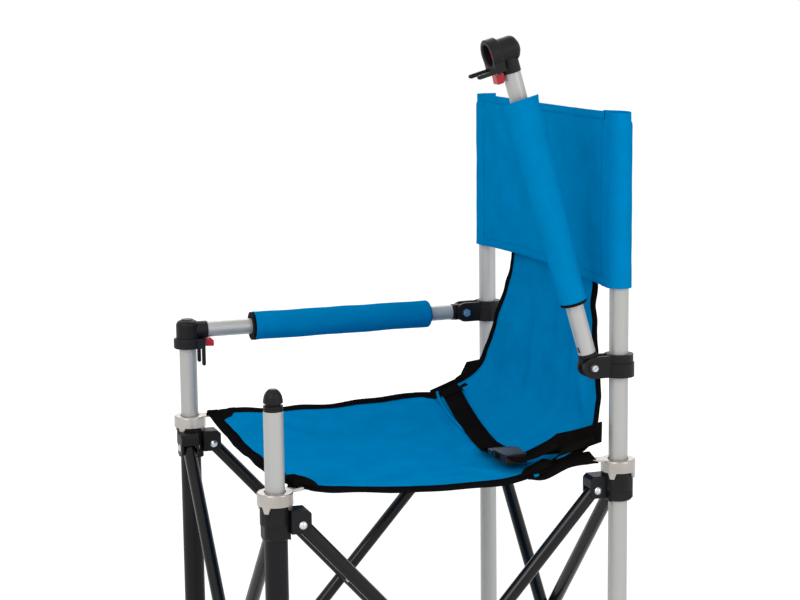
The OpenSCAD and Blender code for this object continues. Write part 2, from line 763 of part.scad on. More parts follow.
// The lap belt lies along the fold in two lengths of webbing, one each side of the buckle
buckle_x = 112;
buckle_y = 101;
buckle_len = 36;
buckle_w = 32;
buckle_t = 11;
belt_t = 2;
buckle_z = seat_height(buckle_x, buckle_y) + buckle_t / 2 + 4;

// A length of webbing that lies on the seat between two places and rises to the buckle at one end
module webbing(from, to, rise_from, rise_to, steps) {
    upper = [for (k = [0:steps])
        let (t = k / steps, p = from + (to - from) * t, rise = rise_from + (rise_to - rise_from) * t * t)
        [for (y = [p[1] - belt_w / 2, p[1] + belt_w / 2])
            [p[0], y, seat_height(p[0], min(y, fold_y)) + 2.6 + rise + max(0, y - fold_y) * 0.7]]];
    lower = [for (row = upper) [for (q = row) q - [0, 0, belt_t]]];
    sheet(upper, lower);
}

module lap_belt() {
    level = buckle_z - seat_height(buckle_x, buckle_y) - 2;
    color("#151416") {
        webbing([-seat_half + 14, 108], [buckle_x - 12.6, buckle_y], 0.4, level, 8);
        webbing([buckle_x + buckle_len + 2.6, buckle_y], [seat_half - 8, 105], level, 0.4, 3);
    }
}

// The side-release buckle: a flat socket with open flanks, and a tongue with two spring prongs
module buckle_socket() {
    color("#1a191b") translate([buckle_x, buckle_y, buckle_z]) difference() {
        translate([2, -buckle_w / 2, -buckle_t / 2]) hull() {
            for (y = [3, buckle_w - 3]) translate([3, y, 0]) cylinder(r = 3, h = buckle_t, $fn = 32);
            translate([buckle_len - 2, 3, 0]) cube([2, buckle_w - 6, buckle_t]);
        }
        translate([-1, -buckle_w / 2 + 4, -buckle_t / 2 + 2.2]) cube([buckle_len - 6, buckle_w - 8, buckle_t - 4.4]);
        for (s = [-1, 1]) translate([17, s * (buckle_w / 2 - 1), 0])
            cube([14, 8, buckle_t - 4.4], center = true);
        translate([buckle_len - 3.4, -belt_w / 2 - 0.5, -buckle_t]) cube([2, belt_w + 1, 2 * buckle_t]);
    }
}

module buckle_tongue() {
    t = buckle_t - 5.2;
    color("#1a191b") translate([buckle_x, buckle_y, buckle_z - t / 2]) difference() {
        union() {
            translate([-12, -buckle_w / 2, 0]) cube([13.6, buckle_w, t]);
            for (s = [-1, 1]) {
                translate([1, s * 8.5 - 2, 0]) cube([22, 4, t]);
                translate([11, s * 9.7 - 2, 0]) cube([11, 4, t]);
            }
            translate([1, -2, 0]) cube([18, 4, t]);
        }
        translate([-9, -belt_w / 2 - 0.5, -1]) cube([3, belt_w + 1, t + 2]);
    }
}

rear_post(RL);  // post_rear_left
rear_post(RR);  // post_rear_right
front_post(FL);  // post_front_left
front_post(FR);  // post_front_right
leg_tube(FL);  // leg_tube_left
leg_tube(FR);  // leg_tube_right
plug_cap(FL);  // plug_cap_left
plug_cap(FR);  // plug_cap_right
foot(RL, post_od);  // foot_rear_left
foot(RR, post_od);  // foot_rear_right
foot(FL, leg_tube_od);  // foot_front_left
foot(FR, leg_tube_od);  // foot_front_right
hub(RL, rear_skirt);  // hub_rear_left
hub(RR, rear_skirt);  // hub_rear_right
hub(FL, front_skirt);  // hub_front_left
hub(FR, front_skirt);  // hub_front_right
seat_ring(RL);  // ring_rear_left
seat_ring(RR);  // ring_rear_right
seat_ring(FL);  // ring_front_left
seat_ring(FR);  // ring_front_right
brace(FL, 1, -1);  // brace_left_outer
brace(FL, -1, 1);  // brace_left_inner
brace(RL, 1, -1);  // brace_rear_outer
brace(RL, -1, 1);  // brace_rear_inner
brace(RR, 1, -1);  // brace_right_outer
brace(RR, -1, 1);  // brace_right_inner
brace(FR, 1, -1);  // brace_front_outer
brace(FR, -1, 1);  // brace_front_inner
brace_rivets(FL, 1, -1);  // rivets_left_outer
brace_rivets(FL, -1, 1);  // rivets_left_inner
brace_rivets(RL, 1, -1);  // rivets_rear_outer
brace_rivets(RL, -1, 1);  // rivets_rear_inner
brace_rivets(RR, 1, -1);  // rivets_right_outer
brace_rivets(RR, -1, 1);  // rivets_right_inner
brace_rivets(FR, 1, -1);  // rivets_front_outer
brace_rivets(FR, -1, 1);  // rivets_front_inner
bracket(1);  // bracket_left
bracket(-1);  // bracket_right
hinge_bolt(1);  // hinge_bolt_left
hinge_bolt(-1);  // hinge_bolt_right
hinge_plug(1);  // hinge_plug_left
hinge_plug(-1);  // hinge_plug_right
arm_tube(1);  // arm_tube_left
arm_tube(-1);  // arm_tube_right
arm_pad(1);  // arm_pad_left
arm_pad(-1);  // arm_pad_right
connector(1);  // connector_left
connector(-1);  // connector_right
latch(1);  // latch_left
latch(-1);  // latch_right
seat_front();
seat_rear();
back_sling();
rear_straps();
back_panel();
lap_belt();
buckle_socket();
buckle_tongue();
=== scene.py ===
# %% [markdown]
# # A child's folding camping chair
#
# The frame of this chair comes from CAD: tubes, hubs, braces, brackets and latches are already true
# in size. What CAD can't give is the look of them, and the cloth. This notebook gives every hard
# part its finish, then makes the seat, the back, the arm pads, the straps and the lap belt as
# cloth, and ends with light and a camera. The soft pieces are drawn in millimetres and scaled to
# metres when their mesh is finished, and the studio is in metres.

# %% The frame and the tools
import json
import math

import bmesh
import bpy
from mathutils import Matrix, Vector, noise

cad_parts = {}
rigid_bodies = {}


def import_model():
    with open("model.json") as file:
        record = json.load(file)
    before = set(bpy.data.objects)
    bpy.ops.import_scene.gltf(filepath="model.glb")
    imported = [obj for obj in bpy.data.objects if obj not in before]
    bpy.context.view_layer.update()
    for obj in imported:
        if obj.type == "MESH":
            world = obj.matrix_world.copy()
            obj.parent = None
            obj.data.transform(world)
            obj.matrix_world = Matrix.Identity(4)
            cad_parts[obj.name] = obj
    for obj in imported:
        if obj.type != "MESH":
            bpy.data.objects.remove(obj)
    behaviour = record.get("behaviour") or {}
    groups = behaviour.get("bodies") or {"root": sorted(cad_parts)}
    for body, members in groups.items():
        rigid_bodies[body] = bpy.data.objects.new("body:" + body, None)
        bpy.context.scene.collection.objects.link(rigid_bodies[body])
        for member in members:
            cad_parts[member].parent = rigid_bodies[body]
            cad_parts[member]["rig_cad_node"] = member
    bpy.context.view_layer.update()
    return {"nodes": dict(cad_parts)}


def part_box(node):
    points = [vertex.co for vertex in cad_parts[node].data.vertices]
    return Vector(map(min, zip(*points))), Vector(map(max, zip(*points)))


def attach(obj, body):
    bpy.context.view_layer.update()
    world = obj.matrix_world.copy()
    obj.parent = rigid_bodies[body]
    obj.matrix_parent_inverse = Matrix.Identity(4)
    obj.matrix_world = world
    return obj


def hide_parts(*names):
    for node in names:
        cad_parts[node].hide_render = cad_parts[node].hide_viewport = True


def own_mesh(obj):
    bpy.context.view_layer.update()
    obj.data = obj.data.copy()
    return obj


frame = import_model()
MM = 0.001
SIDES = ((1, "left"), (-1, "right"))
scene = bpy.context.scene

# %% [markdown]
# ## Sizes shared with the CAD
#
# The cloth hangs from metal, so it is drawn from the same few sizes as the frame: the post
# spacing, the height of the seat rings, and the fold between seat and back.

# %% Sizes in millimetres
HALF = 205.0
POST_R = 11.0
RING_Z = 480.0
ARM_Z = 590.0
HINGE_Y = 170.0
ARM_RAISE = math.radians(74)
FOLD_Y = 115.0
CLOTH = 2.0
FREE_GAP = 0.3
SEAT_HALF = HALF - 22
SEAT_FRONT = -SEAT_HALF
SEAT_SPLIT = (SEAT_FRONT + FOLD_Y) / 2
TAB_REACH = 34.0
TAB_END = HALF - TAB_REACH - 1
PANEL_TOP = 880.0
PANEL_BOTTOM = 679.0
POCKET_R = POST_R + FREE_GAP + CLOTH
PANEL_BOW = 9.0

# %% [markdown]
# ## Colours and nodes
#
# Colours are written as sRGB hex, the way a paint chart gives them. Blender works in linear light,
# so one function converts them. Another adds a shader node with its settings and its links, so that
# each material below reads like a short recipe.


# %% Colour and node helpers
def linear(code):
    """An sRGB hex colour as linear RGBA."""
    parts = [int(code[i:i + 2], 16) / 255 for i in (1, 3, 5)]
    return (*[c / 12.92 if c <= 0.04045 else ((c + 0.055) / 1.055) ** 2.4 for c in parts], 1.0)


def add(tree, kind, settings=None, links=None):
    """Adds a node, sets its properties and inputs, and links inputs to other nodes' outputs."""
    node = tree.nodes.new(kind)
    for key, value in (settings or {}).items():
        if hasattr(node, key) and key not in node.inputs:
            setattr(node, key, value)
        else:
            node.inputs[key].default_value = value
    for key, source in (links or {}).items():
        tree.links.new(source, node.inputs[key])
    return node


def new_material(name, settings):
    """A node material with one Principled shader, joined to the output."""
    material = bpy.data.materials.new(name)
    material.use_nodes = True
    tree = material.node_tree
    tree.nodes.clear()
    shader = add(tree, "ShaderNodeBsdfPrincipled", settings)
    add(tree, "ShaderNodeOutputMaterial", links={"Surface": shader.outputs["BSDF"]})
    return material, tree, shader


def ramp(tree, factor, stops):
    """A colour ramp between hex colours, driven by a factor."""
    node = add(tree, "ShaderNodeValToRGB", links={"Fac": factor})
    while len(node.color_ramp.elements) < len(stops):
        node.color_ramp.elements.new(0.5)
    for element, (place, code) in zip(node.color_ramp.elements, stops):
        element.position = place
        element.color = linear(code)
    return node.outputs["Color"]

# %% [markdown]
# ## Hard finishes
#
# Moulded and metal surfaces share one idea: a colour that varies a little, a roughness that varies
# with it, and a grain as bump. The grain's size is a real one in millimetres: 0.7 mm for moulded
# texture, 3 mm for the waviness of a pressing. The mottling is broad, 36 mm. Drawn lines run along a
# tube, so the pattern is stretched with a Mapping node.


# %% The recipe for a hard surface
MOTTLES_PER_METRE = 28.0
MOTTLE_LOW = 0.3
MOTTLE_HIGH = 0.7
GLOSS_SWING = 0.06


def hard_finish(name, light, dark, roughness, grain, metallic=0.0, stretch=(1, 1, 1), **extra):
    """A surface with mottled colour, uneven gloss and a grain, whose size and depth are in mm."""
    size, depth = grain
    settings = {key.replace("_", " "): value for key, value in extra.items()}
    material, tree, shader = new_material(name, {"Metallic": metallic, **settings})
    place = add(tree, "ShaderNodeTexCoord").outputs["Object"]
    turned = add(tree, "ShaderNodeMapping", {"Scale": stretch}, {"Vector": place}).outputs["Vector"]
    broad = add(tree, "ShaderNodeTexNoise", {"Scale": MOTTLES_PER_METRE, "Detail": 3.0}, {"Vector": turned})
    fine = add(tree, "ShaderNodeTexNoise", {"Scale": 1000 / size, "Detail": 2.0}, {"Vector": turned})
    colour = ramp(tree, broad.outputs["Fac"], [(MOTTLE_LOW, dark), (MOTTLE_HIGH, light)])
    tree.links.new(colour, shader.inputs["Base Color"])
    gloss = add(tree, "ShaderNodeMapRange",
                {"From Min": MOTTLE_LOW, "From Max": MOTTLE_HIGH,
                 "To Min": roughness - GLOSS_SWING, "To Max": roughness + GLOSS_SWING},
                {"Value": broad.outputs["Fac"]})
    tree.links.new(gloss.outputs["Result"], shader.inputs["Roughness"])
    bump = add(tree, "ShaderNodeBump", {"Strength": 0.5, "Distance": depth * MM},
               {"Height": fine.outputs["Fac"]})
    tree.links.new(bump.outputs["Normal"], shader.inputs["Normal"])
    return material


# Anodised aluminium tube: satin, a warm silver grey, with faint drawn lines along it
anodised = hard_finish("anodised_aluminium_tube", "#b4b5b4", "#aaa9a6", roughness=0.44, metallic=0.35,
                       grain=(0.9, 0.05), stretch=(1, 1, 0.06))
# Stamped and nickel-plated steel: the seat rings, warm grey and a little wavy
plated = hard_finish("nickel_plated_steel_pressing", "#bab5b0", "#a39d98", roughness=0.3, metallic=0.8,
                     grain=(3.0, 0.12))
# Zinc-plated rivets and bolts, with the bluish cast of passivated zinc
zinc = hard_finish("zinc_plated_rivet_steel", "#d8dde2", "#b7bec6", roughness=0.3, metallic=0.9,
                   grain=(0.8, 0.04))
# Powder-coated steel tube: the front legs, nearly black, satin with a fine orange peel
powder_coat = hard_finish("black_powder_coated_tube", "#121115", "#0d0c0f", roughness=0.42,
                          grain=(1.4, 0.05), Specular_IOR_Level=0.18)
# Gloss-painted steel tube: the braces, black with sharp highlights
gloss_paint = hard_finish("black_gloss_painted_tube", "#0f0e11", "#0b0a0c", roughness=0.24,
                          grain=(2.5, 0.03), Specular_IOR_Level=0.2,
                          Coat_Weight=0.12, Coat_Roughness=0.12)
# Moulded nylon: hubs, feet, brackets and connectors, black and dull with a spark-eroded grain
nylon = hard_finish("black_moulded_nylon", "#151417", "#0e0d0f", roughness=0.5,
                    grain=(0.7, 0.07), Specular_IOR_Level=0.2)
# Moulded acetal: the buckle, smoother than the hubs
acetal = hard_finish("black_moulded_acetal", "#1c1917", "#151210", roughness=0.36,
                     grain=(0.9, 0.03), Specular_IOR_Level=0.35)
# Moulded red ABS: the latch buttons
red_abs = hard_finish("red_moulded_abs", "#c41d2c", "#a51622", roughness=0.32,
                      grain=(0.9, 0.02), Specular_IOR_Level=0.3)
print("hard finishes", len(bpy.data.materials))

# %% [markdown]
# ## Woven finishes
#
# The blue cloth is a coated polyester plain weave. Its threads are about half a millimetre apart,
# finer than the picture can show, so they are drawn 1.6 mm wide, where they just catch the light.
# The pattern follows each piece's UV map, which is laid out in metres, so the threads bend with the
# cloth. Webbing is the same recipe with wider ribs that run one way only, along the tape.


# %% The recipe for cloth
def woven(name, light, dark, thread_mm, depth_mm, roughness, sheen, ribs=False):
    """A woven surface: two crossed waves of thread, a slow mottle and a sheen of its own colour."""
    # A wave texture draws 20 / tau bands for each unit of scale. A band is a thread and a gap as wide.
    scale = 1000 / thread_mm / math.tau
    material, tree, shader = new_material(name, {
        "Roughness": roughness, "Sheen Weight": sheen, "Sheen Roughness": 0.5,
        "Sheen Tint": linear(light), "Specular IOR Level": 0.0})
    uv = add(tree, "ShaderNodeTexCoord").outputs["UV"]
    waves = []
    for direction in ("X", "Y"):
        wave = add(tree, "ShaderNodeTexWave",
                   {"bands_direction": direction, "Scale": scale, "Distortion": 0.6, "Detail": 1.0},
                   {"Vector": uv})
        waves.append(wave.outputs["Fac"])
    thread = waves[0]
    if not ribs:
        crossed = add(tree, "ShaderNodeMath", {"operation": "MULTIPLY"}, {0: waves[0], 1: waves[1]})
        thread = crossed.outputs[0]
    mottle = add(tree, "ShaderNodeTexNoise", {"Scale": 22.0, "Detail": 4.0, "Roughness": 0.6},
                 {"Vector": uv})
    colour = ramp(tree, mottle.outputs["Fac"], [(0.32, dark), (0.68, light)])
    tree.links.new(colour, shader.inputs["Base Color"])
    bump = add(tree, "ShaderNodeBump", {"Strength": 0.6, "Distance": depth_mm * MM}, {"Height": thread})
    slub = add(tree, "ShaderNodeBump", {"Strength": 0.35, "Distance": 0.9 * MM},
               {"Height": mottle.outputs["Fac"], "Normal": bump.outputs["Normal"]})
    tree.links.new(slub.outputs["Normal"], shader.inputs["Normal"])
    return material


# Polyester cloth of the seat, back and arm pads: a saturated blue, matt with a slight sheen
PLAIN = {"thread_mm": 1.6, "depth_mm": 0.10}
seat_cloth = woven("blue_polyester_seat_cloth", "#0080bb", "#0078b0", roughness=0.82, sheen=0.06, **PLAIN)
panel_cloth = woven("blue_polyester_back_cloth", "#007fbb", "#0078b0", roughness=0.80, sheen=0.08, **PLAIN)
pad_cloth = woven("blue_polyester_arm_cloth", "#007db7", "#0077ae", roughness=0.80, sheen=0.08, **PLAIN)
# Polypropylene binding tape folded round the cloth's edges, ribbed along its length
binding_tape = woven("black_polypropylene_binding", "#141315", "#0d0c0e", thread_mm=2.2, depth_mm=0.18,
                     roughness=0.72, sheen=0.04, ribs=True)
# Polypropylene webbing of the belt and straps, heavier ribs
webbing = woven("black_polypropylene_webbing", "#161413", "#0e0d0c", thread_mm=3.0, depth_mm=0.3,
                roughness=0.68, sheen=0.05, ribs=True)
# Sewing thread a shade lighter than the cloth
blue_thread = woven("blue_sewing_thread", "#0a86c2", "#067db6", thread_mm=0.8, depth_mm=0.05,
                    roughness=0.6, sheen=0.05)
# Polyurethane foam, seen in the open ends of the arm pads
foam = hard_finish("black_foam_of_the_arm_pads", "#161517", "#0e0d0f", roughness=0.9,
                   grain=(1.2, 0.4), Specular_IOR_Level=0.1)
print("materials", len(bpy.data.materials))

# %% [markdown]
# ## Dressing the frame
#
# The start of a CAD part's name says what it is made of, so one table dresses them all.

# %% Dressing the CAD parts
finishes = (
    (anodised, ("post_", "arm_tube_")),
    (powder_coat, ("leg_tube_",)),
    (gloss_paint, ("brace_",)),
    (nylon, ("hub_", "foot_", "bracket_", "connector_", "hinge_plug_", "plug_cap_")),
    (plated, ("ring_",)),
    (zinc, ("rivets_", "hinge_bolt_")),
    (red_abs, ("latch_",)),
    (acetal, ("buckle_",)),
)
dressed = 0
for name, piece in frame["nodes"].items():
    for finish, starts in finishes:
        if name.startswith(starts):
            piece.data.materials.clear()
            piece.data.materials.append(finish)
            dressed += 1
print("dressed", dressed, "of", len(frame["nodes"]))

# %% [markdown]
# ## How the seat hangs
#
# The seat is a cloth stretched between four metal tabs. It lies level on the tabs, dips along its
# free edges, hollows in the middle, and drops to the fold where the back begins. The CAD solid was
# made from the same terms, so cloth and solid lie in one place. In use the cloth has stretched out
# of true: the left edge hangs lower than the right one, and the bound edges curl.


# %% The seat's surface as a height
SEAT_SAG = 14.0
SIDE_SAG = 9.0
FRONT_HOLLOW = 11.0
FOLD_DROP = 17.0
EDGE_FOLD_DROP = 12.0
LEAN = 8.0
LEAN_AT_FOLD = {"left": 3.0, "right": 15.0}
EDGE_CURL = 4.0
CURL_FROM = 0.93
CORNER_FLARE = 14.0
FLARE_LENGTH = 50.0


def arch(t):
    """Zero at both ends and one in the middle."""
    return 4 * t * (1 - t)


def along(y):
    """How far back a point of the seat lies, from the front tabs to the fold."""
    return max(0.0, (y + TAB_END) / (FOLD_Y + TAB_END))


def seat_edge(y):
    """Half the seat's width."""
    flare = CORNER_FLARE * max(0.0, 1 - (y - SEAT_FRONT) / FLARE_LENGTH) ** 2
    return SEAT_HALF + 2 * (1 - along(y)) + flare


def seat_height(x, y):
    """The height of the seat's upper face."""
    u = min(1.0, abs(x) / seat_edge(y))
    v = along(y)
    side = max(-1.0, min(1.0, x / seat_edge(y)))
    at_fold = LEAN_AT_FOLD["right" if side < 0 else "left"]
    lean = side * (LEAN * math.sqrt(arch(min(1.0, v))) + at_fold * v * v)
    lean += side * EDGE_CURL * max(0.0, (u - CURL_FROM) / (1 - CURL_FROM)) ** 2
    return (RING_Z + CLOTH + FREE_GAP - lean
            - SIDE_SAG * arch(v) * u * u
            - FRONT_HOLLOW * max(0.0, 1 - (u / 0.92) ** 2) * (1 - v)
            - SEAT_SAG * arch(v) * (1 - u * u)
            - (FOLD_DROP - (FOLD_DROP - EDGE_FOLD_DROP) * u * u) * v * v)


def panel_y(x):
    """How far back the panel's rear face lies."""
    return HALF - POCKET_R + PANEL_BOW * (1 - x * x / (HALF * HALF))


SEAM_HALF = SEAT_HALF - 56
# The lower back in rows: height above the fold, place back, half the width, bow of the middle
BACK_ROWS = [
    (0, FOLD_Y + 0.2, SEAT_HALF, 0),
    (8, FOLD_Y + 23, SEAT_HALF, 2),
    (20, FOLD_Y + 50, SEAT_HALF - 2, 5),
    (36, FOLD_Y + 68, SEAT_HALF - 3, 7),
    (60, FOLD_Y + 77, SEAT_HALF - 6, 9),
    (92, FOLD_Y + 83, SEAT_HALF - 16, 10),
    (132, FOLD_Y + 88, SEAT_HALF - 36, 10),
    (182, FOLD_Y + 90, SEAT_HALF - 57, 8),
    (222, FOLD_Y + 87, SEAM_HALF, 5),
    (248, panel_y(SEAM_HALF) + 0.4, SEAM_HALF, panel_y(0) - panel_y(SEAM_HALF)),
]
BACK_TOP = BACK_ROWS[-1][0]


def hermite(t, start, slope_in, stop, slope_out):
    """A value between start and stop that leaves and arrives with the slopes given."""
    return ((2 * t ** 3 - 3 * t ** 2 + 1) * start + (t ** 3 - 2 * t ** 2 + t) * slope_in
            + (3 * t ** 2 - 2 * t ** 3) * stop + (t ** 3 - t ** 2) * slope_out)


def back_place(rise, side):
    """A point of the lower back, from its height above the fold and its place across, -1 to 1."""
    k = 0
    while k < len(BACK_ROWS) - 2 and BACK_ROWS[k + 1][0] <= rise:
        k += 1
    before = BACK_ROWS[max(0, k - 1)]
    here, there = BACK_ROWS[k], BACK_ROWS[k + 1]
    after = BACK_ROWS[min(len(BACK_ROWS) - 1, k + 2)]
    gap = there[0] - here[0]
    values = []
    for c in (1, 2, 3):
        slope_in = (there[c] - before[c]) / (there[0] - before[0]) * gap
        slope_out = (after[c] - here[c]) / (after[0] - here[0]) * gap
        values.append(hermite((rise - here[0]) / gap, here[c], slope_in, there[c], slope_out))
    y, half, bow = values
    return Vector((side * half, y + bow * (1 - side * side), seat_height(side * SEAT_HALF, FOLD_Y) + rise))


print("seat's middle at", round(seat_height(0, -30), 1))
print("seat's fold at", round(seat_height(0, FOLD_Y), 1))

# %% [markdown]
# ## Creases
#
# Cloth that carries weight between four corners shows long shallow creases that run from the
# corners, and short ones along the seams. A crease is a ridge: its height falls off with the
# distance from a line. Slow noise is added, so that no two look alike. Bound edges ripple, which is
# a sum of sine waves. Each crease is written as (start, end, width, height).


# %% Creases from lines and noise
def crease(p, a, b, width, height):
    """The height that a crease from a to b adds at p, seen from above or in front."""
    span = (b - a).length_squared
    t = min(1.0, max(0.0, (p - a).dot(b - a) / span))
    away = (p - (a + (b - a) * t)).length
    fade = math.sin(math.pi * min(1.0, max(0.0, 0.06 + 0.9 * t)))
    return height * fade * math.exp(-(away / width) ** 2)


def slow_noise(p, size, height, seed):
    """Soft unevenness of a given size in millimetres."""
    return height * noise.noise(Vector((p[0] / size, p[1] / size, p[2] / size + seed)))


CREASE_DEPTH = 1.9


def creases(x, y, rows):
    """The height that all the creases of a sheet add at one point."""
    flat = Vector((x, y, 0))
    return CREASE_DEPTH * sum(crease(flat, Vector((*a, 0)), Vector((*b, 0)), w, h) for a, b, w, h in rows)


def ripple(place, *waves):
    """A sum of sine waves at a place along an edge. A wave is (height, turn per unit, start)."""
    return sum(height * math.sin(place * turn + start) for height, turn, start in waves)


SEAT_CREASES = [
    ((150, -150), (60, -60), 9, 1.7), ((168, -120), (110, -40), 8, 1.4), ((-150, -150), (-70, -70), 10, 1.6),
    ((-165, -110), (-110, -30), 8, 1.1), ((165, 90), (80, 40), 9, 1.4), ((-160, 90), (-90, 30), 10, 1.3),
    ((120, 10), (20, 60), 11, -1.2), ((60, -120), (-40, -20), 12, 0.9), ((-20, 95), (90, 80), 7, 1.2),
    ((-120, 96), (-30, 88), 7, 1.1), ((140, -10), (150, 60), 8, 1.0), ((-60, -150), (20, -110), 9, 0.9),
]
CALM_EDGE = 24.0
CALM_FOLD = 16.0


def seat_crease(x, y):
    """All the creases of the seat at one point, fading out at its edges."""
    total = creases(x, y, SEAT_CREASES)
    total += slow_noise((x, y, 0), 70, 3.2, 3.0) + slow_noise((x, y, 0), 26, 0.9, 9.0)
    inside = min(1.0, (seat_edge(y) - abs(x)) / CALM_EDGE) * min(1.0, max(0.0, y - SEAT_FRONT) / CALM_EDGE)
    inside *= min(1.0, max(0.0, FOLD_Y - y) / CALM_FOLD)
    return total * max(0.0, inside)

# %% [markdown]
# ## A sheet of cloth
#
# Every sheet starts as a flat grid from a bmesh operator and is then bent to its place. A UV map in
# metres is written first, while the grid is still flat, so the weave keeps its real size. The
# thickness comes last, from a Solidify modifier. A tube or a tape is a grid too: it is rolled up and
# its two long edges are merged. A tape's ends are filled as well.


# %% Grids that are bent into cloth
def place_object(name, data):
    """A new object at the origin, linked into the scene."""
    thing = bpy.data.objects.new(name, data)
    scene.collection.objects.link(thing)
    return thing


def bent_grid(place, columns, rows, width, length):
    """A grid bent by place(s, t), with s and t from 0 to 1, and a UV map in metres."""
    sheet = bmesh.new()
    centre = Matrix.Translation((0.5, 0.5, 0))
    bmesh.ops.create_grid(sheet, x_segments=columns, y_segments=rows, size=0.5, matrix=centre)
    uv = sheet.loops.layers.uv.new("weave")
    for face in sheet.faces:
        for loop in face.loops:
            loop[uv].uv = (loop.vert.co.x * width * MM, loop.vert.co.y * length * MM)
    for vert in sheet.verts:
        vert.co = place(min(1.0, max(0.0, vert.co.x)), min(1.0, max(0.0, vert.co.y)))
    return sheet


def close_up(shape, ends=True):
    """Merges the edges that meet, fills the open ends if asked, and turns the faces outwards."""
    bmesh.ops.remove_doubles(shape, verts=shape.verts, dist=0.005)
    if ends:
        bmesh.ops.holes_fill(shape, edges=[e for e in shape.edges if e.is_boundary], sides=0)
    bmesh.ops.recalc_face_normals(shape, faces=shape.faces)
    return shape


def finish_piece(name, shape, material, body):
    """A finished piece at the origin, in metres, riding on a body."""
    mesh = bpy.data.meshes.new(name)
    bmesh.ops.scale(shape, vec=(MM, MM, MM), verts=shape.verts)
    shape.to_mesh(mesh)
    shape.free()
    mesh.shade_smooth()
    mesh.materials.append(material)
    piece = place_object(name, mesh)
    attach(piece, body)
    print(name, "has", len(mesh.polygons), "faces")
    return piece


def give_thickness(piece, thickness, offset=-1.0):
    """Solidify in millimetres, behind the face at an offset of -1. The wide faces set the shading."""
    solid = piece.modifiers.new("thickness", "SOLIDIFY")
    solid.thickness = thickness * MM
    solid.offset = offset
    shading = piece.modifiers.new("even_shading", "WEIGHTED_NORMAL")
    shading.weight = 95


def line_length(points):
    """The length of a line through points."""
    return sum((b - a).length for a, b in zip(points, points[1:]))


def even_rows(low, high, step):
    """Even rows from low to high, about a step apart."""
    count = max(2, round((high - low) / step))
    return [low + (high - low) * k / count for k in range(count + 1)]


def cut_size(place):
    """The width and length that a bent sheet had when it was cut, from its longest lines."""
    lines, shares = even_rows(0, 1, 1 / 4), even_rows(0, 1, 1 / 60)
    width = max(line_length([place(s, t) for s in shares]) for t in lines)
    length = max(line_length([place(s, t) for t in shares]) for s in lines)
    return width, length


def cloth(name, place, columns, rows, material, body, thick=1.2, offset=-1.0, tube=False):
    """A sheet of blue cloth, bent by place(s, t). A tube has its side edges merged."""
    width, length = cut_size(place)
    grid = bent_grid(place, columns, rows, width, length)
    if tube:
        close_up(grid, ends=False)
    area = min(sum(face.calc_area() for face in grid.faces), width * length)
    piece = finish_piece(name, grid, material, body)
    give_thickness(piece, thick, offset)
    print(name, "was cut", round(width), "by", round(length), "mm")
    return piece


def swept(path, across, lift, profile):
    """A closed profile swept along a path. across and lift are each point's two directions."""
    count, last = len(profile), len(path) - 1
    girth = line_length([Vector((*p, 0)) for p in profile + profile[:1]])

    def place(s, t):
        k = round(t * last)
        a, b = profile[round(s * count) % count]
        return path[k] + across[k] * a + lift[k] * b
    return close_up(bent_grid(place, count, last, girth, line_length(path)))


def tape_profile(width, thick):
    """A tape folded round an edge: flat on both faces and rounded outside."""
    r = thick / 2
    turns = [math.pi * k / 4 for k in range(5)]
    bend = [(r * math.sin(a), -r * math.cos(a)) for a in turns]
    return [(-width, -r), *bend, (-width, r), (-width + 0.6, 0)]


def directions(path, hint):
    """For each point of a path: outwards in the cloth, near hint(k), and square to the cloth."""
    across = []
    lift = []
    for k in range(len(path)):
        run = (path[min(k + 1, len(path) - 1)] - path[max(k - 1, 0)]).normalized()
        out = hint(k)
        out = (out - run * out.dot(run)).normalized()
        across.append(out)
        lift.append(run.cross(out).normalized())
    return across, lift


def edge_tape(name, surface, side, rows, body, width=9, thick=3.0):
    """Binding tape along one side of a surface(side, row), for a list of rows."""
    path = [surface(side, row) for row in rows]
    inwards = [surface(side * 0.95, row) for row in rows]
    across, lift = directions(path, lambda k: path[k] - inwards[k])
    shape = swept(path, across, lift, tape_profile(width, thick))
    finish_piece(name, shape, binding_tape, body)

# %% [markdown]
# ## The seat
#
# The seat is one cloth, but when the chair folds its front half lifts with the front hubs and its
# rear half with the rear ones, so it is made as two sheets that meet on one line. They share the
# same surface, creases included, so the line can't be seen while the chair stands open.


# %% Two sheets for the seat
TUCK_IN = 1.5
CORNER_END = SEAT_FRONT + 23


def seat_place(x_share, y):
    """A point on the creased seat, from its place across, -1 to 1."""
    wave = ripple(y, (1.1, 0.085, 1.3), (0.7, 0.031, 0)) if y > CORNER_END else 0
    x = x_share * (seat_edge(y) + wave - TUCK_IN)
    flutter = ripple(x, (1.1, 0.055, 1), (0.5, 0.12, 0))
    flutter *= math.exp(-(y - SEAT_FRONT) / 14) * max(0.0, 1 - (x / 165) ** 2)
    near_edge = math.exp((abs(x) - seat_edge(y)) / 10)
    flutter += ripple(y, (1.2, 0.07, x_share)) * near_edge * arch(min(1, along(y)))
    return Vector((x, y, seat_height(x, y) - 0.3 + seat_crease(x, y) + flutter))


def seat_part(node, y_from, y_to, tucked=0.0):
    """One half of the seat's cloth. Its last row may be tucked under the other half."""
    def place(s, t):
        y = y_from + (y_to - y_from) * t
        return seat_place(2 * s - 1, y) - Vector((0, 0, tucked if y > SEAT_SPLIT + 0.1 else 0.0))
    rows = int((y_to - y_from) / 4)
    piece = cloth(node + "_cloth", place, 92, rows, seat_cloth, node)
    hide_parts(node)


seat_part("seat_front", SEAT_FRONT, SEAT_SPLIT + 4, 0.2)
seat_part("seat_rear", SEAT_SPLIT, FOLD_Y)

# %% [markdown]
# ## Bound edges of the seat
#
# A black tape, 9 mm wide on each face and 13 mm in front, is folded round the cloth's edge and sewn.
# It is swept along the edge with a profile that is flat on both faces and rounded outside. The edge
# is a little wavy, because the tape is sewn under tension.


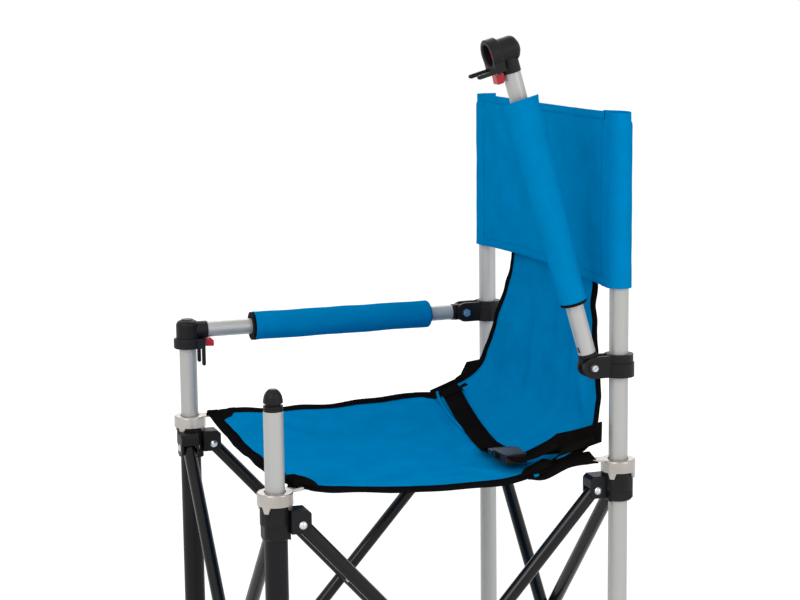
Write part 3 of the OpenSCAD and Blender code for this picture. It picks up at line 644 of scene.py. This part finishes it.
# %% Binding along the seat's sides and front
def seat_middle(side, y):
    """A point in the middle of the cloth's thickness."""
    return seat_place(side, y) - Vector((0, 0, 0.6))


for side, word in SIDES:
    for half, low, high in (("seat_front", SEAT_FRONT, SEAT_SPLIT), ("seat_rear", SEAT_SPLIT, FOLD_Y)):
        edge_tape(half + "_binding_" + word, seat_middle, side, even_rows(low, high, 4), half)
front_path = [seat_middle(share, SEAT_FRONT) for share in even_rows(-1, 1, 0.022)]
front_across, front_lift = directions(front_path, lambda k: Vector((0, -1, 0)))
finish_piece("seat_front_binding", swept(front_path, front_across, front_lift, tape_profile(13, 3.2)),
             binding_tape, "seat_front")

# %% [markdown]
# ## Piping
#
# A thin round cord of folded cloth is sewn in where the seat meets the back. A circle swept along
# the fold, a little sunk in the cloth, gives its line and shadow. It curves back towards its ends.

# %% Piping along the fold
PIPING_R = 1.9
PIPING_Y = FOLD_Y - 8
PIPING_CURVE = 17
ABOVE = Vector((0, 0, 1.3))


def round_profile(radius, sides):
    """A circle as a list of points."""
    turns = [math.tau * k / sides for k in range(sides)]
    return [(radius * math.cos(turn), radius * math.sin(turn)) for turn in turns]


def cloth_at(x, y):
    """A point of the cloth above a place on the ground, on the seat or just behind the fold."""
    share = max(-1.0, min(1.0, x / SEAT_HALF))
    if y <= FOLD_Y:
        return seat_place(share, y)
    rise = next(r for r in range(60) if back_place(r, share).y >= y)
    return Vector((x, y, back_place(rise, share).z))


shares = even_rows(-0.96, 0.92, 0.022)
piping = [cloth_at(share * SEAT_HALF, PIPING_Y + PIPING_CURVE * abs(share) ** 3) + ABOVE for share in shares]
piping_across, piping_lift = directions(piping, lambda k: Vector((0, -1, 0)))
piping_shape = swept(piping, piping_across, piping_lift, round_profile(PIPING_R, 8))
finish_piece("seat_rear_piping", piping_shape, seat_cloth, "seat_rear")

# %% [markdown]
# ## Corner patches
#
# Where the cloth is held by a metal tab it is doubled with black webbing, above and below. Each
# patch is a small grid laid just above the surface and made thick enough to show underneath.


# %% Patches at the seat's corners
def patch(name, place, body, thick, offset):
    """A doubled piece of webbing on a surface given by place(s, t)."""
    width, length = cut_size(place)
    piece = finish_piece(name, bent_grid(place, 16, 12, width, length), webbing, body)
    give_thickness(piece, thick, offset)


def seat_patch(name, corners, body):
    """A four-cornered patch on the seat. Corners are (share across, y), in order round it."""
    a, b, c, d = [Vector(corner) for corner in corners]

    def place(s, t):
        spot = a.lerp(b, s).lerp(d.lerp(c, s), t)
        on_cloth = seat_place(spot.x, spot.y) if spot.y <= FOLD_Y else cloth_at(spot.x * SEAT_HALF, spot.y)
        return on_cloth + ABOVE
    patch(name, place, body, 3.4, -1.0)


FRONT_CORNERS = ((1.0, SEAT_FRONT + 1), (0.78, SEAT_FRONT + 1), (0.88, CORNER_END), (1.0, CORNER_END + 10))
REAR_CORNERS = ((1.0, FOLD_Y - 23), (0.92, FOLD_Y - 9), (0.89, FOLD_Y + 15), (1.0, FOLD_Y + 21))
for side, word in SIDES:
    seat_patch("seat_patch_front_" + word, [(side * share, y) for share, y in FRONT_CORNERS], "seat_front")
    seat_patch("seat_patch_rear_" + word, [(side * share, y) for share, y in REAR_CORNERS], "seat_rear")

# %% [markdown]
# ## The lower back
#
# The same cloth turns up at the fold and narrows as it climbs behind the back panel, to which it
# is sewn out of sight. Its bound sides pull it into shallow scallops, and long soft folds run up it.

# %% The lower back as one sheet
BACK_CREASES = [
    ((150, 40), (70, 120), 10, 1.8), ((-150, 36), (-80, 120), 10, 1.7), ((60, 20), (40, 150), 12, -1.3),
    ((-40, 30), (-60, 170), 12, 1.2), ((10, 90), (30, 210), 10, 1.0), ((100, 140), (60, 220), 9, 1.3),
    ((-105, 130), (-70, 215), 9, 1.1), ((120, 60), (140, 90), 7, 1.0), ((0, 14), (90, 30), 8, 1.2),
]


def between(rows, place):
    """A value read from rows of (place, value), eased from one row to the next."""
    for (start, low), (stop, high) in zip(rows, rows[1:]):
        if place <= stop:
            t = max(0.0, (place - start) / (stop - start))
            return low + (high - low) * t * t * (3 - 2 * t)
    return rows[-1][1]


# How far each edge of the lower back lies outside its plain outline, by height above the fold
EDGE_BUMPS = {"left": [(20, 0), (60, -3), (110, 0), (180, 5), (205, 9), (BACK_TOP, 2)],
              "right": [(20, 0), (60, -6), (91, -8), (106, -4), (140, -8), (163, -15), (184, -11), (198, -14),
                        (222, -1)]}
BUMP_BACK = 0.75
BACK_START = -2
BACK_SPAN = BACK_TOP - BACK_START


def back_surface(side, rise):
    """A point on the creased lower back. Where the edge is drawn in it also lies further back."""
    bump = between(EDGE_BUMPS["left" if side > 0 else "right"], rise)
    scallop = ripple(rise, (1.2, 0.115, side), (0.5, 0.26, 2 * side)) + bump
    p = back_place(rise, side)
    low = min(1.0, max(0.0, rise) / 30)
    p.y += BUMP_BACK * side * bump * abs(side) ** 3 * low
    p.x += math.copysign(scallop * abs(side) ** 8 * low - TUCK_IN * abs(side), side) if side else 0
    spot = (p.x, rise, 0)
    fold = creases(p.x, rise, BACK_CREASES) + slow_noise(spot, 60, 3.4, 5.0) + slow_noise(spot, 22, 0.9, 1.0)
    keep = (1 - abs(side) ** 6) * low * min(1.0, (BACK_TOP - rise) / 40)
    return p + Vector((0, 0.3 - fold * keep, 0))


back_cloth = cloth("lower_back_cloth", lambda s, t: back_surface(2 * s - 1, BACK_START + BACK_SPAN * t),
                   84, 70, seat_cloth, "rear_left_hub")
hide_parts("back_sling")


# %% Binding and patches of the lower back
def back_patch(name, side):
    """A doubled corner that reaches out past the bound edge, in front on the left, behind on the right."""
    inner, set_back = (0.58, -2.6) if side > 0 else (0.88, 3.0)
    sewn = 0.7

    def place(s, t):
        q = min(1.0, s / sewn)
        spot = back_surface(side * (inner + (0.95 - inner) * q), 2 + 16 * q + (22 + 6 * q) * t)
        spot.y += set_back
        outer = Vector((206, 183, 501 + 24 * t)) if side > 0 else Vector((-207, 167 + 9 * t, 502 + 18 * t))
        return spot.lerp(outer, max(0.0, s - sewn) / (1 - sewn))
    patch(name, place, "rear_left_hub", 2.6, 0.0)


for side, word in SIDES:
    rows = even_rows(0, BACK_TOP, 3.5)
    edge_tape("lower_back_binding_" + word, back_surface, side, rows, "rear_left_hub", 8, 3.2)
    back_patch("lower_back_patch_" + word, side)

# %% [markdown]
# ## The back panel
#
# The panel is a wide cloth with a pocket sewn at each end, which slips over a rear post. The face
# bows back a little under its own slack, and most of its creases run in from the corners.


# %% The panel's face
PANEL_CREASES = [
    ((170, 860), (90, 800), 9, 1.6), ((175, 700), (100, 760), 10, 1.5), ((-175, 865), (-100, 805), 9, 1.4),
    ((-170, 700), (-90, 770), 10, 1.5), ((60, 700), (20, 790), 12, 1.2), ((-20, 870), (30, 760), 12, -1.1),
]
FACE_MARGIN = 15.0
FACE_HALF = HALF - FACE_MARGIN


def panel_face(s, t):
    """A point on the panel's face, from its place across and up, both 0 to 1."""
    x = (2 * s - 1) * FACE_HALF
    z = PANEL_BOTTOM + 1 + (PANEL_TOP - PANEL_BOTTOM - 2) * t
    sag = 2.2 * arch(s) * (1 - t) - 2.0 * arch(s) * t
    inwards = FACE_HALF - abs(x)
    y = panel_y(x) - 0.8 + 0.9 * math.exp(-(inwards / 6) ** 2)
    folds = (slow_noise((x, z, 0), 90, 3.0, 2.0) + slow_noise((x * 2.2, z * 0.7, 0), 40, 1.1, 7.0)
             + ripple(z, (1.2, 0.11, 1.5)) * math.exp(-(inwards / 30) ** 2))
    folds += creases(x, z, PANEL_CREASES)
    return Vector((x, y - folds * min(1.0, inwards / 30), z + sag))


panel = cloth("back_panel_face", panel_face, 96, 52, panel_cloth, "rear_left",
              1.2, 0.0)
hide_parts("back_panel")

# %% [markdown]
# ## Pockets
#
# A pocket is the end of the cloth, led round the post and sewn to itself. It is made as a tube of
# its own, so that it can follow its post when the chair folds.


# %% Pockets round the posts
POCKET_SEAM = 20.0
POCKET_LOOP_R = 12.9
FRONT_SHARE = 0.21
ROUND_SHARE = 0.81


def pocket_section(s, radius):
    """A loop round a post: flat from the seam to the post's front, round it, and back to the seam."""
    if s < FRONT_SHARE:
        left = 1 - s / FRONT_SHARE
        return -POCKET_SEAM * left, -radius + 0.7 * left
    turn = math.radians(-90 + 250 * min(1.0, (s - FRONT_SHARE) / (ROUND_SHARE - FRONT_SHARE)))
    spot = Vector((radius * math.cos(turn), radius * math.sin(turn)))
    return spot.lerp(Vector((-POCKET_SEAM, -radius + 0.7)), max(0.0, s - ROUND_SHARE) / (1 - ROUND_SHARE))


def pocket(name, side, body):
    """A pocket of the panel, a little slack, with its top hem drawn tighter round the post."""
    def place(s, t):
        z = PANEL_BOTTOM + 0.5 + (PANEL_TOP - PANEL_BOTTOM - 0.5) * t
        turn = math.tau * s
        slack = 0.5 * noise.noise(Vector((math.cos(turn) * 1.5, math.sin(turn) * 1.5, z / 26 + side)))
        hem_draw = 1.3 * min(1.0, max(0.0, (z - PANEL_TOP + 13) / 2.5))
        bottom_flare = 0.6 * math.exp(-t * 20)
        a, b = pocket_section(s, POCKET_LOOP_R + slack - hem_draw + bottom_flare)
        dip = 2.5 * t * (a + POCKET_SEAM) / 33
        return Vector((side * (HALF + a), HALF + b, z - dip))
    cloth(name, place, 60, 80, panel_cloth, body, 1.0, 1.0, tube=True)


for side, word in SIDES:
    pocket("panel_pocket_" + word, side, "rear_" + word)

# %% [markdown]
# ## Hems and seams
#
# A hem is the cloth turned over once more, so it is a flat band that stands about half a
# millimetre proud, with one or two rows of stitches. Stitches are real, small and many, so each is
# a tiny stretched bead, and a row of them is one mesh.


# %% Hems and stitch rows on the panel
def hem(name, t_from, t_to):
    """A raised band along the panel, from one height to another."""
    def place(s, t):
        return panel_face(s, t_from + (t_to - t_from) * t) + Vector((0, -0.9, 0))
    grid = bent_grid(place, 96, 3, *cut_size(place))
    piece = finish_piece(name, grid, panel_cloth, "rear_left")
    give_thickness(piece, 0.9, 0.0)


def stitch_row(name, points, size, body):
    """A row of short stitches along a line of points, as one mesh."""
    row = bmesh.new()
    for a, b in zip(points, points[1:]):
        run = b - a
        turn = run.to_track_quat("X", "Z").to_matrix().to_4x4()
        shape = Matrix.Diagonal((run.length * 0.36, size, size, 1))
        bmesh.ops.create_icosphere(row, subdivisions=1, radius=1.0,
                                   matrix=Matrix.Translation((a + b) / 2) @ turn @ shape)
    finish_piece(name, row, blue_thread, body)


THREAD_R = 0.32
hem("panel_hem_top", 0.955, 1.0)
hem("panel_hem_bottom", 0.0, 0.052)
for label, level in (("top", 0.962), ("bottom_low", 0.012), ("bottom_high", 0.044)):
    row = [panel_face(s, level) + Vector((0, -1.5, 0)) for s in even_rows(0.01, 0.99, 0.98 / 120)]
    stitch_row("panel_stitches_" + label, row, THREAD_R, "rear_left")
for share, word in ((0.021, "right"), (0.979, "left")):
    row = [panel_face(share, t) + Vector((0, -1.0, 0)) for t in even_rows(0.01, 0.99, 0.98 / 66)]
    stitch_row("panel_pocket_stitches_" + word, row, THREAD_R, "rear_left")

# %% [markdown]
# ## Arm pads
#
# An arm pad is a thin cloth sleeve over a foam tube, with one seam along its underside. At one end
# the foam looks out as a black lip. At the other the sleeve is either drawn in to the tube or stands
# open like a cuff. The sleeve is a grid rolled into a tube, with its rings closest together at the
# ends, where the shape turns, and each ring is pushed in and out a little for soft dents.


# %% Arm pads
def arm_spot(side, x, y, z):
    """A place on a level arm, measured from its hinge, moved to where the arm rests."""
    raised = -ARM_RAISE if side > 0 else 0.0
    return Matrix.Rotation(raised, 4, "X") @ Vector((x, y, z)) + Vector((side * HALF, HINGE_Y, ARM_Z))


# For each kind of end: how the sleeve's radius changes with the distance from the end, how far in
# the foam stops, and how much its radius differs from the sleeve's
END_SHAPES = {
    "lip": (lambda d: 0.3 * math.exp(-d / 6), -3.6, -0.1),
    "drawn": (lambda d: -4.6 * max(0.0, 1 - d / 4.5) ** 2, 5.0, -3.0),
    "cuff": (lambda d: 1.2 * max(0.0, 1 - d / 20) ** 2, 12.0, -3.5),
}
FOAM_WALL_IN = 10.4


def arm_pad(side, start, length, word, radii, ends):
    """The cloth sleeve and the foam inside it. radii and ends are given at the hinge, then in front."""
    hinge_r, front_r = radii
    body = "arm_" + word
    back, front = [END_SHAPES[end] for end in ends]

    def ring(turn, radius, far):
        return arm_spot(side, radius * math.sin(turn), -start - far, -radius * math.cos(turn))

    def outer(s, t):
        turn = math.tau * s
        t = 0.5 - 0.5 * math.cos(math.pi * t)
        dent = 0.7 * noise.noise(Vector((math.cos(turn) * 1.2, math.sin(turn) * 1.2, t * 7 + side)))
        dent += ripple(t, (0.3, 44, 2 * math.sin(turn))) * math.exp(-min(t, 1 - t) * 14)
        radius = hinge_r + (front_r - hinge_r) * t + dent * min(1.0, arch(t) * 12)
        radius += back[0](t * length) + front[0]((1 - t) * length)
        slant = 4.0 * math.sin(turn) * max(0.0, t - 0.8) / 0.2 if ends[1] == "cuff" else 0.0
        return ring(turn, radius, length * t + slant)

    near_end, far_end = back[1], length - front[1]
    near_r, far_r = hinge_r + back[2], front_r + front[2]
    corners = [(FOAM_WALL_IN, near_end), (near_r, near_end), (near_r, near_end + 2),
               (hinge_r - 3, near_end + 3), (front_r - 3, far_end - 3), (far_r, far_end - 2),
               (far_r, far_end), (FOAM_WALL_IN, far_end)]

    def inner(s, t):
        return ring(math.tau * s, *corners[round(t * len(corners)) % len(corners)])

    sleeve = close_up(bent_grid(outer, 48, 100, math.tau * front_r, length), ends=False)
    cover = finish_piece("arm_pad_cover_" + word, sleeve, pad_cloth, body)
    give_thickness(cover, 1.0)
    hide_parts("arm_pad_" + word)
    core = close_up(bent_grid(inner, 48, len(corners), math.tau * hinge_r, length), ends=False)
    padding = finish_piece("arm_pad_foam_" + word, core, foam, body)
    padding.data.shade_flat()
    seam = [outer(0.0, t) for t in even_rows(0.02, 0.98, 0.96 / 80)]
    stitch_row("arm_pad_seam_" + word, seam, 0.35, body)


arm_pad(1, 81.0, 236.0, "left", (15.6, 21.0), ("lip", "cuff"))
arm_pad(-1, 48.0, 240.0, "right", (17.7, 18.2), ("drawn", "lip"))

# %% [markdown]
# ## Straps and lap belt
#
# Webbing keeps its width and bends along its length, so a strap is a thin rectangle swept along a
# smooth path. Short straps tie the cloth's rear corners to the metal tabs.


# %% A smooth path and a webbing strap
PATH_STEPS = 14


def smooth_path(points):
    """A path of many points through a few, with rounded corners."""
    points = [Vector(point) for point in points]
    path = []
    last = len(points) - 1
    for k in range(last):
        before, here, there, after = [points[min(last, max(0, k + j))] for j in (-1, 0, 1, 2)]
        for j in range(PATH_STEPS):
            t = j / PATH_STEPS
            path.append(0.5 * ((2 * here) + (there - before) * t
                               + (2 * before - 5 * here + 4 * there - after) * t ** 2
                               + (3 * here - before - 3 * there + after) * t ** 3))
    path.append(points[-1])
    return path


def strap(name, points, crossways, width, thick, body):
    """Webbing along a smooth path. crossways gives the direction across the webbing at each point."""
    path, turns = smooth_path(points), smooth_path(crossways)
    across, lift = directions(path, lambda k: turns[k])
    w, t = width / 2, thick / 2
    corner = [(w - 0.5, -t), (w, -t / 2), (w, t / 2), (w - 0.5, t)]
    profile = corner + [(-a, -b) for a, b in corner]
    return finish_piece(name, swept(path, across, lift, profile), webbing, body)


STRAP_END_Y = FOLD_Y - 6
STRAP_END_Z = seat_height(SEAT_HALF - 18, STRAP_END_Y) - CLOTH - 1.6
for side, word in SIDES:
    strap("rear_strap_" + word,
          [(side * 197, 178, RING_Z + 1.4), (side * 197, 170, RING_Z + 1.3), (side * 190, 146, RING_Z - 3.5),
           (side * 181, 120, STRAP_END_Z + 2.0), (side * 176, 104, STRAP_END_Z)],
          [(1, 0, -side * 0.35), (1, 0, -side * 0.35), (1, 0.1, -side * 0.2), (1, 0.2, -side * 0.12),
           (1, 0.2, 0)], 24, 1.8, "rear_left_hub")
    strap("lower_back_tie_" + word,
          [(side * 205, 176, 505), (side * 200, 158, 498), (side * 190, 140, 488),
           cloth_at(side * 180, 128) + Vector((0, 0, 2.0))],
          [(0, 0.5, 1), (0, 0.5, 1), (0, 0.7, 0.7), (0, 1, 0.2)], 8, 1.6, "rear_left_hub")
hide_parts("rear_straps")

# %% [markdown]
# ## The lap belt
#
# The belt lies along the fold. Its far length wraps the seat's edge and runs towards the buckle. The
# last stretch is a piece of its own, which moves with the tongue when the buckle opens. The near
# length leaves the socket and slips under the corner patch.

# %% The lap belt
BUCKLE_Z = (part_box("buckle_socket")[0][2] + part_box("buckle_socket")[1][2]) / 2 / MM
BELT_W = 25.0
BELT_THICK = 1.7
FAR_BELT_END = 90.0
NEAR_BELT_START = 145.5
BELT_COURSE = ((-172, 136), (-150, 134), (-110, 128), (-60, 121), (-10, 115), (40, 109))


def belt_spot(x, y, above=2.4):
    """The middle of the belt where it lies on the cloth, and the direction across it."""
    low, high = cloth_at(x, y - BELT_W / 2), cloth_at(x, y + BELT_W / 2)
    return (low + high) / 2 + Vector((0, 0, above)), high - low


lying = [belt_spot(x, y) for x, y in BELT_COURSE]
far_points = [(-187, 133, 474), (-189, 135, 484), *[spot for spot, turn in lying],
              (68, 103, BUCKLE_Z - 5.5), (FAR_BELT_END, 101, BUCKLE_Z - 4.5)]
far_turns = [(0, 1, 0.3), (0, 1, 0.3), *[turn.normalized() for spot, turn in lying], (0, 1, 0.1), (0, 1, 0)]
far_belt = strap("lap_belt_far", far_points, far_turns, BELT_W, BELT_THICK, "buckle")
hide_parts("lap_belt")
strap("lap_belt_tongue_end",
      [(58, 103, BUCKLE_Z - 2.2), (82, 101.5, BUCKLE_Z - 1.2), (101.5, 101, BUCKLE_Z + 0.5),
       (105, 101, BUCKLE_Z - 2.5)],
      [(0, 1, 0)] * 4, BELT_W - 0.6, BELT_THICK, "buckle_tongue")
strap("lap_belt_near",
      [(NEAR_BELT_START, 101, BUCKLE_Z - 2), (148, 101, BUCKLE_Z + 1.5), (155, 106, BUCKLE_Z + 1),
       (159, 118, BUCKLE_Z + 3.5), (160, 132, BUCKLE_Z + 10), (160, 146, BUCKLE_Z + 17)],
      [(0, 1, 0), (0, 1, 0), (-0.6, 1, 0), (-1, 0.5, 0), (-1, 0.15, 0.05), (-1, 0, 0.1)],
      BELT_W, BELT_THICK, "buckle")
keeper, keeper_turn = belt_spot(-150, 135, 4.0)
keeper_turn.normalize()
keeper_reach = keeper_turn * (BELT_W / 2 + 1)
strap("lap_belt_keeper", [keeper - keeper_reach, keeper, keeper + keeper_reach],
      [(1, 0, 0)] * 3, 8, 1.6, "buckle")
print("buckle at height", round(BUCKLE_Z, 1))

# %% [markdown]
# ## When the chair folds
#
# The posts come together, so cloth between them has to crumple. Each soft piece rides on the part
# that carries it, and the pieces of the seat, the lower back, the rear straps, the panel and the belt
# are each given a mesh of their own.

# %% Meshes of their own for the soft pieces
bundled = ("seat_front_", "seat_rear_", "seat_patch", "lower_back", "rear_strap_")
with_buckle = ("lap_belt_far", "lap_belt_near", "lap_belt_keeper")
on_panel = ("back_panel_face", "panel_hem", "panel_stitches", "panel_pocket_stitches")
soft_goods = [piece for piece in scene.objects if "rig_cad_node" not in piece and piece.type == "MESH"]
for piece in soft_goods:
    if piece.name.startswith(bundled):
        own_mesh(piece)
    if piece.name in with_buckle:
        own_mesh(piece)
    if piece.name.startswith(on_panel):
        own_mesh(piece)
print("soft pieces", len(soft_goods))

# %% [markdown]
# ## Floor and light
#
# Big soft lamps light the chair evenly, as in a product picture. The floor and the world look plain
# white to the camera and in reflections, and the floor keeps a faint shadow of the chair.

# %% The studio
floor_mesh = bmesh.new()
bmesh.ops.create_grid(floor_mesh, x_segments=1, y_segments=1, size=12.0)
floor_data = bpy.data.meshes.new("studio_floor")
floor_mesh.to_mesh(floor_data)
floor_mesh.free()
floor = place_object("studio_floor", floor_data)


def looked_at(tree):
    """One for rays that carry the background's picture: to the camera, off gloss or through glass."""
    ray = add(tree, "ShaderNodeLightPath")
    seen = add(tree, "ShaderNodeMath", {"operation": "MAXIMUM"},
               {0: ray.outputs["Is Camera Ray"], 1: ray.outputs["Is Glossy Ray"]})
    return add(tree, "ShaderNodeMath", {"operation": "MAXIMUM"},
               {0: seen.outputs[0], 1: ray.outputs["Is Transmission Ray"]}).outputs[0]


floor_paint = {"Base Color": linear("#f4f4f4"), "Roughness": 0.9}
white, white_tree, white_shader = new_material("white_studio_floor", floor_paint)
shown = add(white_tree, "ShaderNodeBsdfDiffuse", {"Color": (0.5, 0.5, 0.5, 1)})
spot = add(white_tree, "ShaderNodeTexCoord").outputs["Object"]
away = add(white_tree, "ShaderNodeVectorMath", {"operation": "LENGTH"}, {0: spot}).outputs["Value"]
fill = add(white_tree, "ShaderNodeMapRange",
           {"From Min": 0.3, "From Max": 3.0, "To Min": 0.5, "To Max": 0.78}, {"Value": away})
lit = add(white_tree, "ShaderNodeEmission", {"Color": (1, 1, 1, 1)}, {"Strength": fill.outputs["Result"]})
picture = add(white_tree, "ShaderNodeAddShader", links={0: shown.outputs[0], 1: lit.outputs[0]})
choice = add(white_tree, "ShaderNodeMixShader",
             links={0: looked_at(white_tree), 1: white_shader.outputs[0], 2: picture.outputs[0]})
white_tree.links.new(choice.outputs[0], white_tree.nodes["Material Output"].inputs["Surface"])
floor_data.materials.append(white)

world = bpy.data.worlds.new("studio")
scene.world = world
world.use_nodes = True
sky = world.node_tree
sky.nodes.clear()
level = add(sky, "ShaderNodeMapRange", {"To Min": 0.62, "To Max": 1.0}, {"Value": looked_at(sky)})
glow = add(sky, "ShaderNodeBackground", {"Color": (1, 1, 1, 1)}, {"Strength": level.outputs["Result"]})
add(sky, "ShaderNodeOutputWorld", links={"Surface": glow.outputs["Background"]})


def lamp(name, place, size, watts):
    """A square soft lamp at a place, turned towards the chair."""
    data = bpy.data.lights.new(name, "AREA")
    data.size = size
    data.energy = watts
    thing = place_object(name, data)
    thing.location = place
    thing.rotation_euler = (CHAIR_MIDDLE - Vector(place)).to_track_quat("-Z", "Y").to_euler()


CHAIR_MIDDLE = Vector((0, 0, 0.6))
lamp("key_lamp", (2.2, -2.4, 2.6), 1.8, 52)
lamp("fill_lamp", (2.6, 1.6, 1.8), 1.6, 26)
lamp("back_lamp", (-2.4, 0.6, 2.4), 1.8, 30)
scene.view_settings.view_transform = "Standard"
print("lamps", len(bpy.data.lights))

# %% [markdown]
# ## Camera
#
# The camera stands where the photographer stood, in front of the chair's left side and above the
# arms, with a long lens. Its place and directions were fitted to points measured in the photograph.

# %% The camera
CAMERA_PLACE = Vector((2.22702, -0.74938, 1.03085))
CAMERA_BACK = Vector((0.933915, -0.319039, 0.161299))
CAMERA_RIGHT = Vector((0.325024, 0.945636, -0.011468))
CAMERA_UP = Vector((-0.148872, 0.063136, 0.986839))
FOCAL_PIXELS = 1977.0
IMAGE_WIDTH = 800.0
camera_data = bpy.data.cameras.new("camera")
camera_data.sensor_width = 36.0
camera_data.lens = FOCAL_PIXELS / IMAGE_WIDTH * camera_data.sensor_width
camera_data.clip_end = 60.0
camera = place_object("camera", camera_data)
turn = Matrix((CAMERA_RIGHT, CAMERA_UP, CAMERA_BACK)).transposed().to_4x4()
camera.matrix_world = Matrix.Translation(CAMERA_PLACE) @ turn
scene.camera = camera
print("lens", round(camera_data.lens, 1), "mm")
